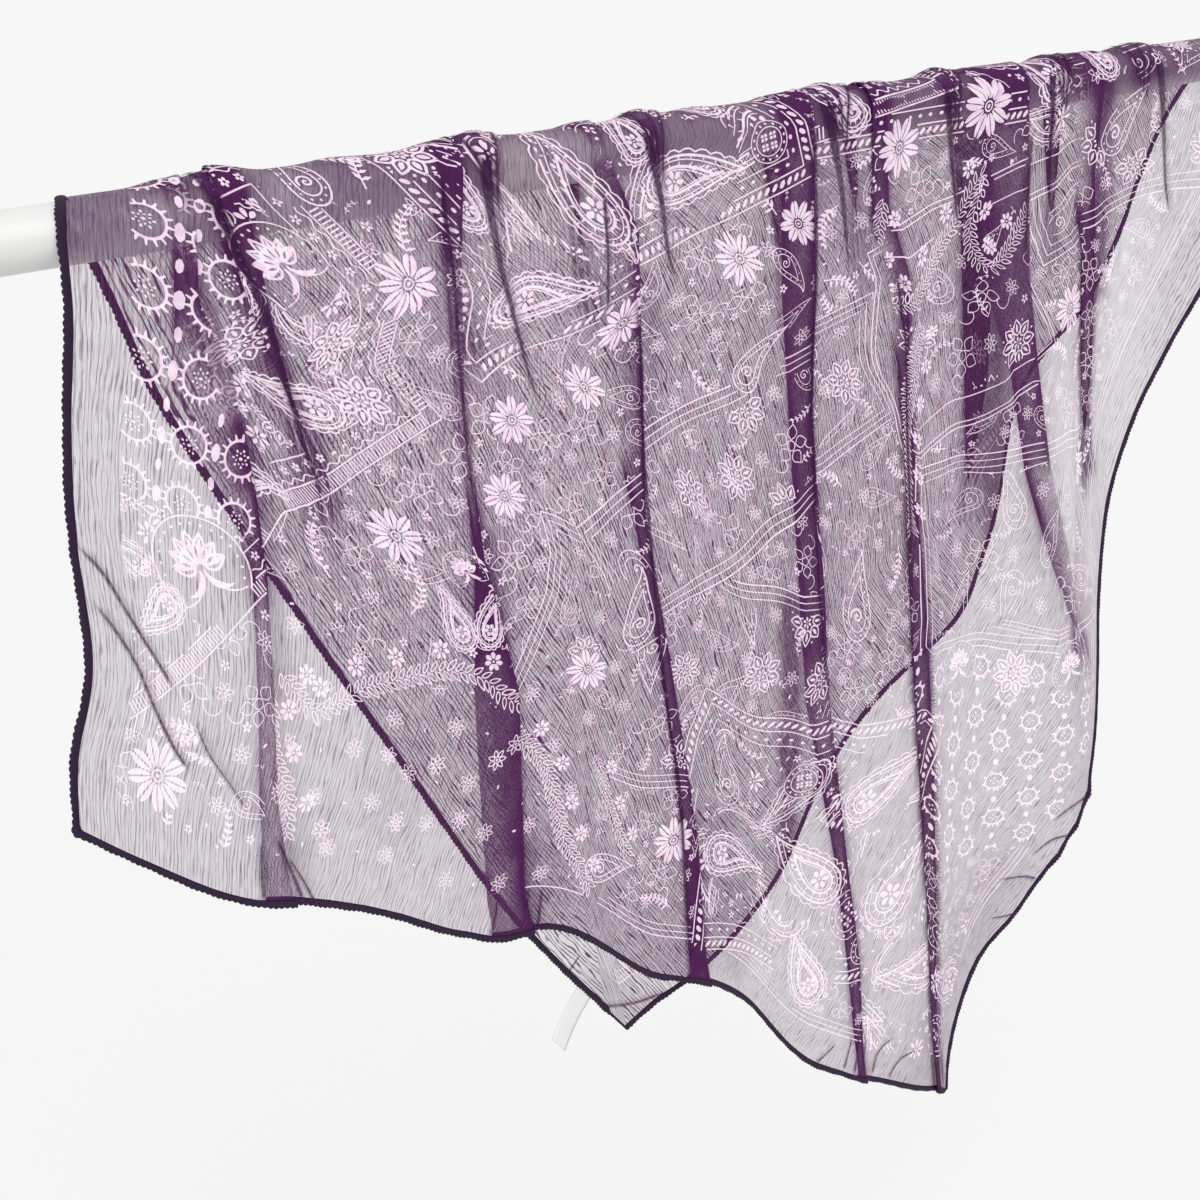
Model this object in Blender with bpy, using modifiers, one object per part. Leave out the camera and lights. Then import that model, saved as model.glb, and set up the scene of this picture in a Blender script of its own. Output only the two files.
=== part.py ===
"""A square chiffon scarf draped over a round rod.

The rod runs along +X from its left end, the origin.  The front of the cloth hangs on the -Y side and its
back on the +Y side.  Lengths are in metres and +Z is up.

The cloth is one net of columns that run from the front hem, over the rod, to the back edge.  A place on a
fall is (across, drop): how far along the rod from the scarf's left edge, and how far below the rod's axis.
Every pleat is a flat Z of three layers, whose place and width are read from a few sections.
"""

from collections import namedtuple
from math import cos, pi

import bmesh
import bpy
import numpy as np

# Rod
ROD_LENGTH = 1.000
ROD_DIAMETER = 0.022
ROD_SIDES = 48
ROD_EDGE = 0.001
SCARF_START = 0.160

# Cloth
WALL = 0.0010
SEAM_GAP = 0.0003
LAYER_STEP = 0.0020

# Overlocked hem
HEM_WIDTH = 0.0036
HEM_THICK = 0.0014

# Care label
LABEL_WIDTH = 0.0124
LABEL_LENGTH = 0.0315
LABEL_THICK = 0.0010
LABEL_PLACE = 0.94
LABEL_SLANT = 0.67
LABEL_CURL = 0.0015
LABEL_NET = (3, 7)

# How the cloth waves: length along the rod, depth at the longest drop, phase
Wave = namedtuple("Wave", "length depth phase")
FRONT_WAVES = (Wave(0.163, 0.0050, 1.0), Wave(0.071, 0.0022, 0.3))
BACK_WAVES = (Wave(0.187, 0.0060, 2.4), Wave(0.083, 0.0024, 1.1))
LONGEST_DROP = 0.58

# Outlines, as (across, drop)
Point = namedtuple("Point", "across drop")
FRONT_LEFT_EDGE = (
    Point(0.002, 0.000),
    Point(-0.003, 0.028),
    Point(-0.013, 0.064),
    Point(-0.022, 0.106),
    Point(-0.028, 0.152),
    Point(-0.042, 0.186),
    Point(-0.049, 0.216),
)
FRONT_LOWER_EDGE = (
    Point(-0.049, 0.216),
    Point(-0.028, 0.240),
    Point(0.000, 0.267),
    Point(0.026, 0.280),
    Point(0.064, 0.306),
    Point(0.094, 0.331),
    Point(0.116, 0.343),
    Point(0.139, 0.347),
    Point(0.158, 0.361),
    Point(0.191, 0.400),
    Point(0.222, 0.419),
    Point(0.251, 0.450),
    Point(0.278, 0.498),
    Point(0.300, 0.521),
    Point(0.353, 0.560),
    Point(0.392, 0.587),
)
FRONT_RIGHT_EDGE = (
    Point(0.392, 0.587),
    Point(0.408, 0.545),
    Point(0.430, 0.503),
    Point(0.461, 0.483),
    Point(0.490, 0.457),
    Point(0.515, 0.424),
    Point(0.527, 0.384),
    Point(0.531, 0.340),
    Point(0.532, 0.300),
    Point(0.537, 0.260),
    Point(0.545, 0.230),
    Point(0.567, 0.189),
    Point(0.593, 0.158),
    Point(0.621, 0.130),
    Point(0.652, 0.093),
    Point(0.676, 0.052),
    Point(0.692, 0.000),
)
BACK_LEFT_EDGE = (
    Point(0.012, 0.000),
    Point(0.018, 0.030),
    Point(0.026, 0.069),
    Point(0.048, 0.133),
    Point(0.067, 0.186),
    Point(0.094, 0.256),
    Point(0.122, 0.329),
    Point(0.147, 0.380),
    Point(0.187, 0.450),
)
BACK_RIGHT_EDGE = (
    Point(0.187, 0.450),
    Point(0.210, 0.437),
    Point(0.254, 0.423),
    Point(0.298, 0.392),
    Point(0.335, 0.355),
    Point(0.377, 0.316),
    Point(0.435, 0.287),
    Point(0.458, 0.255),
    Point(0.476, 0.221),
    Point(0.490, 0.176),
    Point(0.512, 0.150),
    Point(0.552, 0.124),
    Point(0.580, 0.090),
    Point(0.600, 0.055),
    Point(0.622, 0.026),
    Point(0.652, 0.000),
)

# Pleats.  opens is +1 where the free edge of the outer layer points right, -1 where it points left.
Section = namedtuple("Section", "drop centre width")
Pleat = namedtuple("Pleat", "name opens front back")
NO_WIDTH = 0.0
PLEATS = (
    Pleat(
        "hand",
        1,
        (
            Section(0.000, 0.046, 0.008),
            Section(0.030, 0.040, 0.008),
            Section(0.055, 0.039, 0.022),
            Section(0.100, 0.043, 0.012),
            Section(0.138, 0.043, 0.005),
            Section(0.188, 0.034, 0.006),
            Section(0.230, 0.025, 0.007),
            Section(0.268, 0.020, 0.010),
        ),
        (Section(0.000, 0.047, 0.006), Section(0.050, 0.050, NO_WIDTH)),
    ),
    Pleat(
        "first",
        -1,
        (
            Section(0.000, 0.064, 0.011),
            Section(0.045, 0.067, 0.005),
            Section(0.075, 0.071, 0.003),
            Section(0.107, 0.075, NO_WIDTH),
        ),
        (Section(0.000, 0.066, 0.006), Section(0.060, 0.070, NO_WIDTH)),
    ),
    Pleat(
        "second",
        1,
        (
            Section(0.000, 0.153, 0.009),
            Section(0.035, 0.147, 0.006),
            Section(0.087, 0.140, 0.004),
            Section(0.157, 0.137, 0.004),
            Section(0.222, 0.134, 0.020),
            Section(0.322, 0.122, 0.018),
        ),
        (Section(0.000, 0.156, 0.007), Section(0.070, 0.160, NO_WIDTH)),
    ),
    Pleat(
        "third",
        1,
        (
            Section(0.000, 0.222, 0.006),
            Section(0.034, 0.227, 0.018),
            Section(0.113, 0.219, 0.016),
            Section(0.160, 0.219, 0.005),
            Section(0.238, 0.223, 0.005),
            Section(0.335, 0.225, 0.008),
            Section(0.400, 0.220, 0.009),
        ),
        (Section(0.000, 0.222, 0.006), Section(0.060, 0.222, NO_WIDTH)),
    ),
    Pleat(
        "fourth",
        1,
        (
            Section(0.000, 0.328, 0.018),
            Section(0.078, 0.321, 0.019),
            Section(0.135, 0.316, 0.013),
            Section(0.229, 0.314, 0.015),
            Section(0.285, 0.312, 0.014),
            Section(0.387, 0.319, 0.007),
            Section(0.455, 0.322, 0.008),
            Section(0.520, 0.321, 0.004),
        ),
        (Section(0.000, 0.332, 0.014), Section(0.080, 0.336, NO_WIDTH)),
    ),
    Pleat(
        "fifth",
        -1,
        (
            Section(0.000, 0.378, 0.009),
            Section(0.045, 0.375, 0.011),
            Section(0.078, 0.381, 0.022),
            Section(0.125, 0.385, 0.007),
            Section(0.200, 0.386, 0.009),
            Section(0.280, 0.387, 0.015),
            Section(0.364, 0.387, 0.014),
            Section(0.440, 0.386, 0.011),
            Section(0.530, 0.382, 0.006),
        ),
        (Section(0.000, 0.380, 0.008), Section(0.070, 0.384, NO_WIDTH)),
    ),
    Pleat(
        "sixth",
        1,
        (
            Section(0.000, 0.462, 0.032),
            Section(0.093, 0.460, 0.032),
            Section(0.138, 0.471, 0.019),
            Section(0.200, 0.480, 0.017),
            Section(0.260, 0.496, 0.012),
            Section(0.318, 0.511, NO_WIDTH),
            Section(0.350, 0.521, NO_WIDTH),
        ),
        (
            Section(0.000, 0.464, 0.028),
            Section(0.075, 0.466, 0.026),
            Section(0.150, 0.460, 0.018),
            Section(0.212, 0.449, NO_WIDTH),
        ),
    ),
    Pleat(
        "seventh",
        -1,
        (
            Section(0.000, 0.523, 0.028),
            Section(0.047, 0.519, 0.017),
            Section(0.088, 0.522, 0.012),
            Section(0.150, 0.519, 0.010),
            Section(0.200, 0.516, NO_WIDTH),
            Section(0.262, 0.541, NO_WIDTH),
        ),
        (Section(0.000, 0.526, 0.016), Section(0.080, 0.524, NO_WIDTH)),
    ),
)
FADE_DROP = 0.030
OPEN_WIDTH = 0.010
LEAN_IN = 0.014

# Short creases below the gathers: a soft ridge that runs out downwards
Crease = namedtuple("Crease", "name top low reach width height")
CREASES = (
    Crease("second_side", 0.170, 0.173, 0.080, 0.005, 0.0022),
    Crease("third_side", 0.250, 0.252, 0.055, 0.005, 0.0020),
    Crease("fourth_side", 0.350, 0.353, 0.072, 0.006, 0.0024),
    Crease("fifth_side", 0.422, 0.425, 0.052, 0.005, 0.0020),
    Crease("sixth_side", 0.496, 0.492, 0.062, 0.005, 0.0020),
    Crease("seventh_side", 0.581, 0.588, 0.074, 0.005, 0.0022),
)

# Gathered bunches that stand up over the rod
Bunch = namedtuple("Bunch", "centre width height")
BUNCHES = (
    Bunch(0.061, 0.020, 0.0026),
    Bunch(0.169, 0.022, 0.0030),
    Bunch(0.250, 0.020, 0.0026),
    Bunch(0.353, 0.030, 0.0030),
    Bunch(0.426, 0.026, 0.0022),
    Bunch(0.504, 0.022, 0.0022),
    Bunch(0.567, 0.030, 0.0022),
)

# Net
FRONT_ROWS = 14
OVER_ROWS = 8
BACK_ROWS = 9
PLAIN_STEP = 0.020
ROW_CROWDING = 1.25
EDGE_SAMPLES = 400
SETTLING_ROUNDS = 40
CORNER_GAP = 0.0004
CORNER_CLEAR = 6
END_ROOM = 0.0012
CREASE_SIDES = (-1, 0, 1)

# The bend round the rod is a polygon, so its corners lie far enough out for its sides to clear the rod
BEND_RADIUS = (ROD_DIAMETER / 2 + SEAM_GAP + HEM_THICK / 2) / cos(pi / (2 * OVER_ROWS))

# Across a pleat: the place on the Z, from -1 to 1, the layer, counted from the free side, and the bulge
# of the turn, from -1 to 1
Station = namedtuple("Station", "swing layer bulge")
PLEAT_STATIONS = (
    Station(-1, 2.0, 0),
    Station(1, 2.0, 0),
    Station(1, 1.5, 1),
    Station(1, 1.0, 0),
    Station(-1, 1.0, 0),
    Station(-1, 0.5, -1),
    Station(-1, 0.0, 0),
    Station(1, 0.0, 0),
)
FULL_LAYERS = 2.0

PURPLE = (0.16, 0.055, 0.21, 1.0)
DARK_PURPLE = (0.022, 0.008, 0.036, 1.0)
WHITE_PAINT = (0.86, 0.86, 0.85, 1.0)
WHITE_SATIN = (0.90, 0.90, 0.90, 1.0)


# Lines

def as_array(points):
    """The points as rows of numbers."""
    return np.array([tuple(point) for point in points], float)


def smooth_line(points):
    """An even, gently rounded line through the points, by Catmull-Rom spans."""
    line = as_array(points)
    padded = np.vstack([2 * line[0] - line[1], line, 2 * line[-1] - line[-2]])
    place = np.linspace(0, len(line) - 1, EDGE_SAMPLES)
    span = np.minimum(place.astype(int), len(line) - 2)
    f = (place - span)[:, None]
    before, start, end, after = (padded[span + i] for i in range(4))
    bend = 2 * start + (end - before) * f
    bend += (2 * before - 5 * start + 4 * end - after) * f**2
    bend += (3 * start - before - 3 * end + after) * f**3
    return bend / 2


def joined(*lines):
    """Lines that meet end to end, as one line with no point twice."""
    return np.vstack([lines[0]] + [line[1:] for line in lines[1:]])


def moved_in(line, distance):
    """The line moved towards the cloth by the distance, with mitred corners."""
    along = np.diff(line, axis=0)
    along /= np.linalg.norm(along, axis=1)[:, None]
    side = np.stack([along[:, 1], -along[:, 0]], axis=1)
    first = np.vstack([side[:1], side])
    second = np.vstack([side, side[-1:]])
    bisector = first + second
    bisector /= np.linalg.norm(bisector, axis=1)[:, None]
    stretch = np.maximum((bisector * first).sum(axis=1), 0.5)
    return line + bisector * (distance / stretch)[:, None]


def inset_outline(outline, distance):
    """The outline moved in, where no point near a corner passes the corner's own mitred point."""
    inner = moved_in(outline, distance)
    for corner in range(EDGE_SAMPLES - 1, len(outline) - 1, EDGE_SAMPLES - 1):
        for step in (-1, 1):
            away = outline[corner + step] - outline[corner]
            for i in range(corner + step, corner + step * CORNER_CLEAR, step):
                if (inner[i] - inner[corner]) @ away < 0:
                    inner[i] = inner[corner]
    return inner


def on_line(line, places):
    """Points of the line at fractional indices."""
    steps = np.arange(len(line))
    return np.stack([np.interp(places, steps, line[:, k]) for k in (0, 1)], axis=-1)


def eased(value):
    """A smooth step from 0 to 1."""
    value = np.clip(value, 0, 1)
    return value * value * (3 - 2 * value)


# Columns of the net

Column = namedtuple("Column", "kind item station share")


def plain_columns(start, end):
    """Plain columns between two pleats, as shares of the way; each crease there gets three."""
    sides = [
        crease.top + side * crease.width
        for crease in CREASES if start < crease.top < end
        for side in CREASE_SIDES
    ]
    stops = [start] + sides + [end]
    places = list(sides)
    for low, high in zip(stops, stops[1:]):
        count = int((high - low) / PLAIN_STEP)
        places += [low + (high - low) * (i + 1) / (count + 1) for i in range(count)]
    return [Column("plain", None, None, (at - start) / (end - start)) for at in sorted(places)]


def stations_of(pleat):
    """A pleat's stations from left to right along the cloth."""
    return PLEAT_STATIONS if pleat.opens > 0 else PLEAT_STATIONS[::-1]


def columns_of_net():
    """Every column, left to right along the cloth: pleat stations, and plain columns between the pleats."""
    columns = [Column("left", None, None, 0.0)]
    reached = FRONT_LEFT_EDGE[0].across
    for pleat in PLEATS:
        top = pleat.front[0]
        columns += plain_columns(reached, top.centre - top.width / 2)
        columns += [Column("pleat", pleat, station, 0.0) for station in stations_of(pleat)]
        reached = top.centre + top.width / 2
    columns += plain_columns(reached, FRONT_RIGHT_EDGE[-1].across)
    columns.append(Column("right", None, None, 1.0))
    return columns


COLUMNS = columns_of_net()


def filled_plain(values):
    """Fills the plain columns of a table, a row for each column, from the marked ones on each side."""
    marked = [i for i, column in enumerate(COLUMNS) if column.kind != "plain"]
    for start, end in zip(marked, marked[1:]):
        for i in range(start + 1, end):
            share = COLUMNS[i].share
            values[i] = (1 - share) * values[start] + share * values[end]
    return values


def column_for_corner(places, corner):
    """The plain column that can move on to the corner with no other column between them."""
    last = max(i for i, place in enumerate(places) if place < corner)
    beside = [i for i in (last, last + 1) if COLUMNS[i].kind == "plain"]
    return min(beside, key=lambda i: abs(places[i] - corner))


# The two falls

class Fall:
    """One hanging stretch: its outlines, and its net of columns and rows."""

    def __init__(self, side, edges, waves, rows):
        """Lays out the net between the rod and the fall's lower outline."""
        self.side = side
        self.sign = -1 if side == "front" else 1
        self.waves = waves
        self.outline = joined(*(smooth_line(edge) for edge in edges))
        hem = HEM_WIDTH + SEAM_GAP
        self.inner = inset_outline(self.outline, hem)
        self.foot_start = (len(edges) - 2) * (EDGE_SAMPLES - 1)
        self.top = (self.outline[0, 0] + hem + END_ROOM, self.outline[-1, 0] - hem - END_ROOM)
        self.places = self.settled_places()
        foot = on_line(self.inner, self.places)
        down = np.linspace(0, 1, rows + 1) ** ROW_CROWDING
        self.drop = SEAM_GAP + (foot[:, 1:] - SEAM_GAP) * down
        self.across = np.zeros_like(self.drop)
        for i, column in enumerate(COLUMNS):
            if column.kind != "plain":
                self.across[i] = self.across_of(column, self.drop[i])
        self.across = filled_plain(self.across)
        self.across += (foot[:, :1] - self.across[:, -1:]) * down**3
        self.lift = self.lifts()

    def across_of(self, column, drop):
        """Across of a marked column at each drop."""
        if column.kind == "left":
            edge = self.inner[: self.foot_start + 1]
            if self.foot_start:
                return np.interp(drop, edge[:, 1], edge[:, 0])
            return np.full_like(drop, self.top[0])
        if column.kind == "right":
            return np.full_like(drop, self.top[1])
        sections = as_array(getattr(column.item, self.side))
        centre = np.interp(drop, sections[:, 0], sections[:, 1])
        width = np.interp(drop, sections[:, 0], sections[:, 2])
        order = stations_of(column.item)
        even = 2 * order.index(column.station) / (len(order) - 1) - 1
        bulge = LAYER_STEP / 2 * column.station.bulge
        folded = (width / 2 * column.station.swing + bulge) * column.item.opens
        closed = eased(width / OPEN_WIDTH * 2)
        return centre + folded * closed + OPEN_WIDTH / 2 * even * (1 - closed)

    def settled_places(self):
        """Each column's place on the outline, as a fractional index, where its path meets the inner line."""
        foot_line = self.inner[self.foot_start:]
        steps = np.arange(len(foot_line)) + self.foot_start
        rising = np.maximum.accumulate(foot_line[:, 0])
        places = np.linspace(self.foot_start, len(self.outline) - 1, len(COLUMNS))
        for _ in range(SETTLING_ROUNDS):
            drop = on_line(self.inner, places)[:, 1]
            across = np.zeros(len(COLUMNS))
            for i, column in enumerate(COLUMNS):
                if column.kind != "plain":
                    across[i] = self.across_of(column, drop[i:i + 1])[0]
            found = np.interp(across, rising, steps)
            if self.foot_start:
                found[0] = self.foot_start
            places = (places + filled_plain(found)) / 2
        corner = self.foot_start + EDGE_SAMPLES - 1
        places[column_for_corner(places, corner)] = corner
        return places

    def lifts(self):
        """How far every point stands off the plain hanging cloth, in a pleat's layers or a crease."""
        lift = np.zeros_like(self.drop)
        for i, column in enumerate(COLUMNS):
            if column.kind == "pleat":
                lift[i] = column.station.layer * LAYER_STEP * self.folded(column.item, self.drop[i])
        self.run_up(lift)
        return lift + self.crease_lift()

    def crease_lift(self):
        """The ridges of the short creases, on the plain columns alone."""
        plain = np.array([column.kind == "plain" for column in COLUMNS])[:, None]
        lift = np.zeros_like(self.drop)
        for crease in CREASES:
            centre = np.interp(self.drop, (0, crease.reach), (crease.top, crease.low))
            ridge = eased(1 - np.abs(self.across - centre) / (2 * crease.width))
            lift += crease.height * ridge * eased(1 - self.drop / crease.reach)
        return lift * plain

    def folded(self, pleat, drop):
        """1 where a pleat's layers lie stacked, and 0 below the place where it has run out."""
        out = [section.drop for section in getattr(pleat, self.side) if section.width == NO_WIDTH]
        if not out:
            return np.ones_like(drop)
        return eased((out[0] + FADE_DROP - drop) / FADE_DROP)

    def run_up(self, lift):
        """Raises the plain cloth beside a pleat's outer layer, so that it runs smoothly up on to it."""
        for i, column in enumerate(COLUMNS):
            if column.kind != "pleat" or column.station.layer < FULL_LAYERS:
                continue
            step = -column.item.opens
            j = i + step
            while COLUMNS[j].kind in ("plain", "left", "right"):
                near = eased(1 - np.abs(self.across[j] - self.across[i]) / LEAN_IN)
                lift[j] = np.maximum(lift[j], lift[i] * near)
                if COLUMNS[j].kind != "plain":
                    break
                j += step

    def hung(self, across, drop, lift):
        """Points in space of places on the fall, with the slow waves that grow with the drop."""
        grown = np.clip(drop / LONGEST_DROP, 0, 1)
        out = BEND_RADIUS + lift
        for wave in self.waves:
            out = out + wave.depth * grown * np.sin(2 * pi * across / wave.length + wave.phase)
        return np.stack([SCARF_START + across, self.sign * out, -drop], axis=-1)

    def points(self):
        """The net's points in space."""
        return self.hung(self.across, self.drop, self.lift)

    def hem(self, start, end):
        """The strip of hem between two corners of the outline, as stations by two sides."""
        inside = (self.places > start + CORNER_CLEAR) & (self.places < end - CORNER_CLEAR)
        places = np.concatenate([[start], self.places[inside], [end]])
        lift = np.concatenate([[0.0], self.lift[inside, -1], [0.0]])
        return self.strip(places, lift)

    def side_hem(self):
        """The strip of hem down the side of a fall that starts with a side edge."""
        edge = self.inner[: self.foot_start + 1]
        places = np.interp(self.drop[0], edge[:, 1], np.arange(len(edge)))
        inside = places < self.foot_start - CORNER_CLEAR
        places = np.append(places[inside], self.foot_start)
        lift = np.append(self.lift[0][inside], 0.0)
        return self.strip(places, lift)

    def strip(self, places, lift):
        """Points of a hem strip on both of its long sides, its ends drawn back from the corners."""
        sides = []
        for inset in (HEM_WIDTH, 0.0):
            line = on_line(inset_outline(self.outline, inset), places)
            for end, near in ((0, 1), (-1, -2)):
                back = line[near] - line[end]
                line[end] += back / np.linalg.norm(back) * CORNER_GAP
            drop = np.maximum(line[:, 1], SEAM_GAP)
            sides.append(self.hung(line[:, 0], drop, lift))
        return np.stack(sides, axis=1)


# The stretch over the rod

def wrapped(across, lift, turn):
    """Points round the top of the rod; turn runs from 0 at the front to 1 at the back."""
    radius = BEND_RADIUS + lift + bunch_lift(across) * np.sin(pi * turn)
    y = -radius * np.cos(pi * turn)
    z = radius * np.sin(pi * turn)
    return np.stack([SCARF_START + across, y, z], axis=-1)


def bunch_lift(across):
    """How far the gathers stand up over the rod."""
    lift = np.zeros_like(across)
    for bunch in BUNCHES:
        lift += bunch.height * np.exp(-(((across - bunch.centre) / (bunch.width / 2)) ** 2))
    return lift


def over_points(front, back):
    """The net over the rod, from the front fall's top row to the back fall's."""
    turn = np.linspace(0, 1, OVER_ROWS + 1)[None, :]
    across = front.across[:, :1] * (1 - turn) + back.across[:, :1] * turn
    lift = front.lift[:, :1] * (1 - turn) + back.lift[:, :1] * turn
    return wrapped(across, lift, turn)


def over_hem(front, back, end):
    """The strip of hem over the rod, at the scarf's left (0) or right (-1) end."""
    turn = np.linspace(0, 1, OVER_ROWS + 1)
    outer = front.outline[end, 0] * (1 - turn) + back.outline[end, 0] * turn
    inner = outer + (HEM_WIDTH if end == 0 else -HEM_WIDTH)
    sides = (inner, outer) if end == 0 else (outer, inner)
    return np.stack([wrapped(side, np.zeros_like(turn), turn) for side in sides], axis=1)


# The care label

def label_points(back):
    """The care label: sewn by its short end to the back left edge, hanging down and outwards."""
    place = LABEL_PLACE * (EDGE_SAMPLES - 1)
    ends = on_line(back.outline, np.array([place - 1, place + 1]))
    edge = (ends[1] - ends[0]) / np.linalg.norm(ends[1] - ends[0])
    outward = np.array([-edge[1], edge[0]])
    start = ends.mean(axis=0) + outward * SEAM_GAP
    hang = np.array([-np.sin(LABEL_SLANT), np.cos(LABEL_SLANT)])
    wide = np.linspace(-0.5, 0.5, LABEL_NET[0])[:, None, None] * LABEL_WIDTH
    long = np.linspace(0, 1, LABEL_NET[1])[None, :, None] * LABEL_LENGTH
    flat = start + edge * wide + hang * long
    points = back.hung(flat[..., 0], flat[..., 1], np.zeros(flat.shape[:2]))
    level = back.hung(start[0], start[1], 0.0)[1]
    points[..., 1] = level + LABEL_CURL * np.sin(pi * long[..., 0] / LABEL_LENGTH)
    return points


# Meshes

def material(name, colour, roughness, metallic=0.0):
    """A plain Principled material."""
    made = bpy.data.materials.new(name)
    made.use_nodes = True
    shader = made.node_tree.nodes["Principled BSDF"]
    shader.inputs["Base Color"].default_value = colour
    shader.inputs["Roughness"].default_value = roughness
    shader.inputs["Metallic"].default_value = metallic
    made.diffuse_color = colour
    return made


def new_object(name, mesh, finish, collection):
    """An object for the mesh, with its material, in the scarf's collection."""
    made = bpy.data.objects.new(name, mesh)
    mesh.materials.append(finish)
    collection.objects.link(made)
    return made


def sheet_object(name, points, thickness, finish, collection):
    """A grid laid on a table of points and given its wall by Solidify, half to each side."""
    count, rows = points.shape[:2]
    grid = bmesh.new()
    bmesh.ops.create_grid(grid, x_segments=count - 1, y_segments=rows - 1, size=0.5)
    grid.verts.ensure_lookup_table()
    for index, vertex in enumerate(grid.verts):
        row, column = divmod(index, count)
        vertex.co = points[column, row]
    mesh = bpy.data.meshes.new(name)
    grid.to_mesh(mesh)
    grid.free()
    made = new_object(name, mesh, finish, collection)
    wall = made.modifiers.new("Wall", "SOLIDIFY")
    wall.thickness = thickness
    wall.offset = 0.0
    return made


def rod_object(finish, collection):
    """The rod: a cylinder along X with softened end edges."""
    cylinder = bmesh.new()
    bmesh.ops.create_cone(
        cylinder,
        cap_ends=True,
        segments=ROD_SIDES,
        radius1=ROD_DIAMETER / 2,
        radius2=ROD_DIAMETER / 2,
        depth=ROD_LENGTH,
    )
    mesh = bpy.data.meshes.new("rod")
    cylinder.to_mesh(mesh)
    cylinder.free()
    made = new_object("rod", mesh, finish, collection)
    made.rotation_euler = (0, pi / 2, 0)
    made.location = (ROD_LENGTH / 2, 0, 0)
    edge = made.modifiers.new("Edge", "BEVEL")
    edge.width = ROD_EDGE
    edge.segments = 2
    mesh.shade_smooth()
    mesh.set_sharp_from_angle(angle=pi / 5)
    return made


def build_scarf():
    """Builds every piece."""
    collection = bpy.data.collections.new("chiffon_scarf_on_rod")
    bpy.context.scene.collection.children.link(collection)
    chiffon = material("chiffon", PURPLE, 0.75)
    overlock = material("overlock_thread", DARK_PURPLE, 0.6)
    paint = material("white_paint", WHITE_PAINT, 0.35)
    satin = material("label_satin", WHITE_SATIN, 0.3)
    front_edges = (FRONT_LEFT_EDGE, FRONT_LOWER_EDGE, FRONT_RIGHT_EDGE)
    front = Fall("front", front_edges, FRONT_WAVES, FRONT_ROWS)
    back = Fall("back", (BACK_LEFT_EDGE, BACK_RIGHT_EDGE), BACK_WAVES, BACK_ROWS)
    corner = EDGE_SAMPLES - 1
    rod_object(paint, collection)
    cloths = {
        "front_fall": front.points(),
        "over_rod": over_points(front, back),
        "back_fall": back.points(),
    }
    hems = {
        "hem_front_left": front.side_hem(),
        "hem_front_lower": front.hem(corner, 2 * corner),
        "hem_front_right": front.hem(2 * corner, 3 * corner),
        "hem_over_left": over_hem(front, back, 0),
        "hem_over_right": over_hem(front, back, -1),
        "hem_back_left": back.hem(0, corner),
        "hem_back_right": back.hem(corner, 2 * corner),
    }
    for name, points in cloths.items():
        sheet_object(name, points, WALL, chiffon, collection)
    for name, points in hems.items():
        sheet_object(name, points, HEM_THICK, overlock, collection)
    sheet_object("care_label", label_points(back), LABEL_THICK, satin, collection)


for old in list(bpy.data.objects):
    bpy.data.objects.remove(old, do_unlink=True)
build_scarf()
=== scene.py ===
"""A square chiffon scarf, printed as a bandana patchwork, draped over a round white rod.

The rod runs along +X from the origin; the front fall hangs on the -Y side and the back fall on the +Y side.
Lengths are in metres, but in millimetres in the rows of the tables.  A place on a fall is (across, drop).
A place on the flat cloth is (u, v), measured from its lower left corner along the front hem and up the left
edge.
"""

import logging
from dataclasses import dataclass, field
from enum import Enum
from math import cos, pi, radians, sin
from typing import Iterable, NamedTuple, Sequence

import bmesh
import bpy
import numpy as np
from mathutils import Matrix, Vector


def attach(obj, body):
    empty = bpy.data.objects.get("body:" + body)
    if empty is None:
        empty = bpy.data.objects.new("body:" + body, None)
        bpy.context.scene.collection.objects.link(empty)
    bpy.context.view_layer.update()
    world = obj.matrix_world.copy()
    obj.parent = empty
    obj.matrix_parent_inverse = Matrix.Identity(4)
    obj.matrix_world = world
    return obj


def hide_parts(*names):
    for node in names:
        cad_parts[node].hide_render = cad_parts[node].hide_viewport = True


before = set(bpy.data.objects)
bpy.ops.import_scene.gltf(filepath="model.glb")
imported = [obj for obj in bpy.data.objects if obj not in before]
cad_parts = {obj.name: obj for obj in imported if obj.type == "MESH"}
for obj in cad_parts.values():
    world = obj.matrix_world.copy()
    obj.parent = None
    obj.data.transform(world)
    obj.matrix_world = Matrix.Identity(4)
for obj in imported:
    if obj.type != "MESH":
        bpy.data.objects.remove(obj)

LOG = logging.getLogger("scarf")
Points = np.ndarray
Socket = bpy.types.NodeSocket


# Sizes that the falls share

@dataclass(frozen=True)
class RodSizes:
    """The rod's sizes."""

    length: float = 1.000
    diameter: float = 0.022
    scarf_start: float = 0.160
    edge: float = 0.001
    sides: int = 96


@dataclass(frozen=True)
class ClothSizes:
    """The cloth's sizes: its cut, and how it stands off the rod and in its pleats."""

    side: float = 0.70
    clearance: float = 0.0011
    layer_step: float = 0.0008
    hem_layer_step: float = 0.0019
    hem_spread_from: float = 0.93
    hem_cover: float = 0.0012
    longest_drop: float = 0.58
    fade_drop: float = 0.030
    open_width: float = 0.010
    lean_in: float = 0.014


# The smallest lengths that count: in a mesh, across a column, and in a division
SMALLEST = 1e-6
NARROWEST = 1e-9
TINY = 1e-12
ROD = RodSizes()
CLOTH = ClothSizes()
BEND_RADIUS = ROD.diameter / 2 + CLOTH.clearance


class Place(NamedTuple):
    """A place on a fall."""

    across: float
    drop: float


class Section(NamedTuple):
    """A pleat at one drop: where its middle is and how wide it lies."""

    drop: float
    centre: float
    width: float


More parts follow.
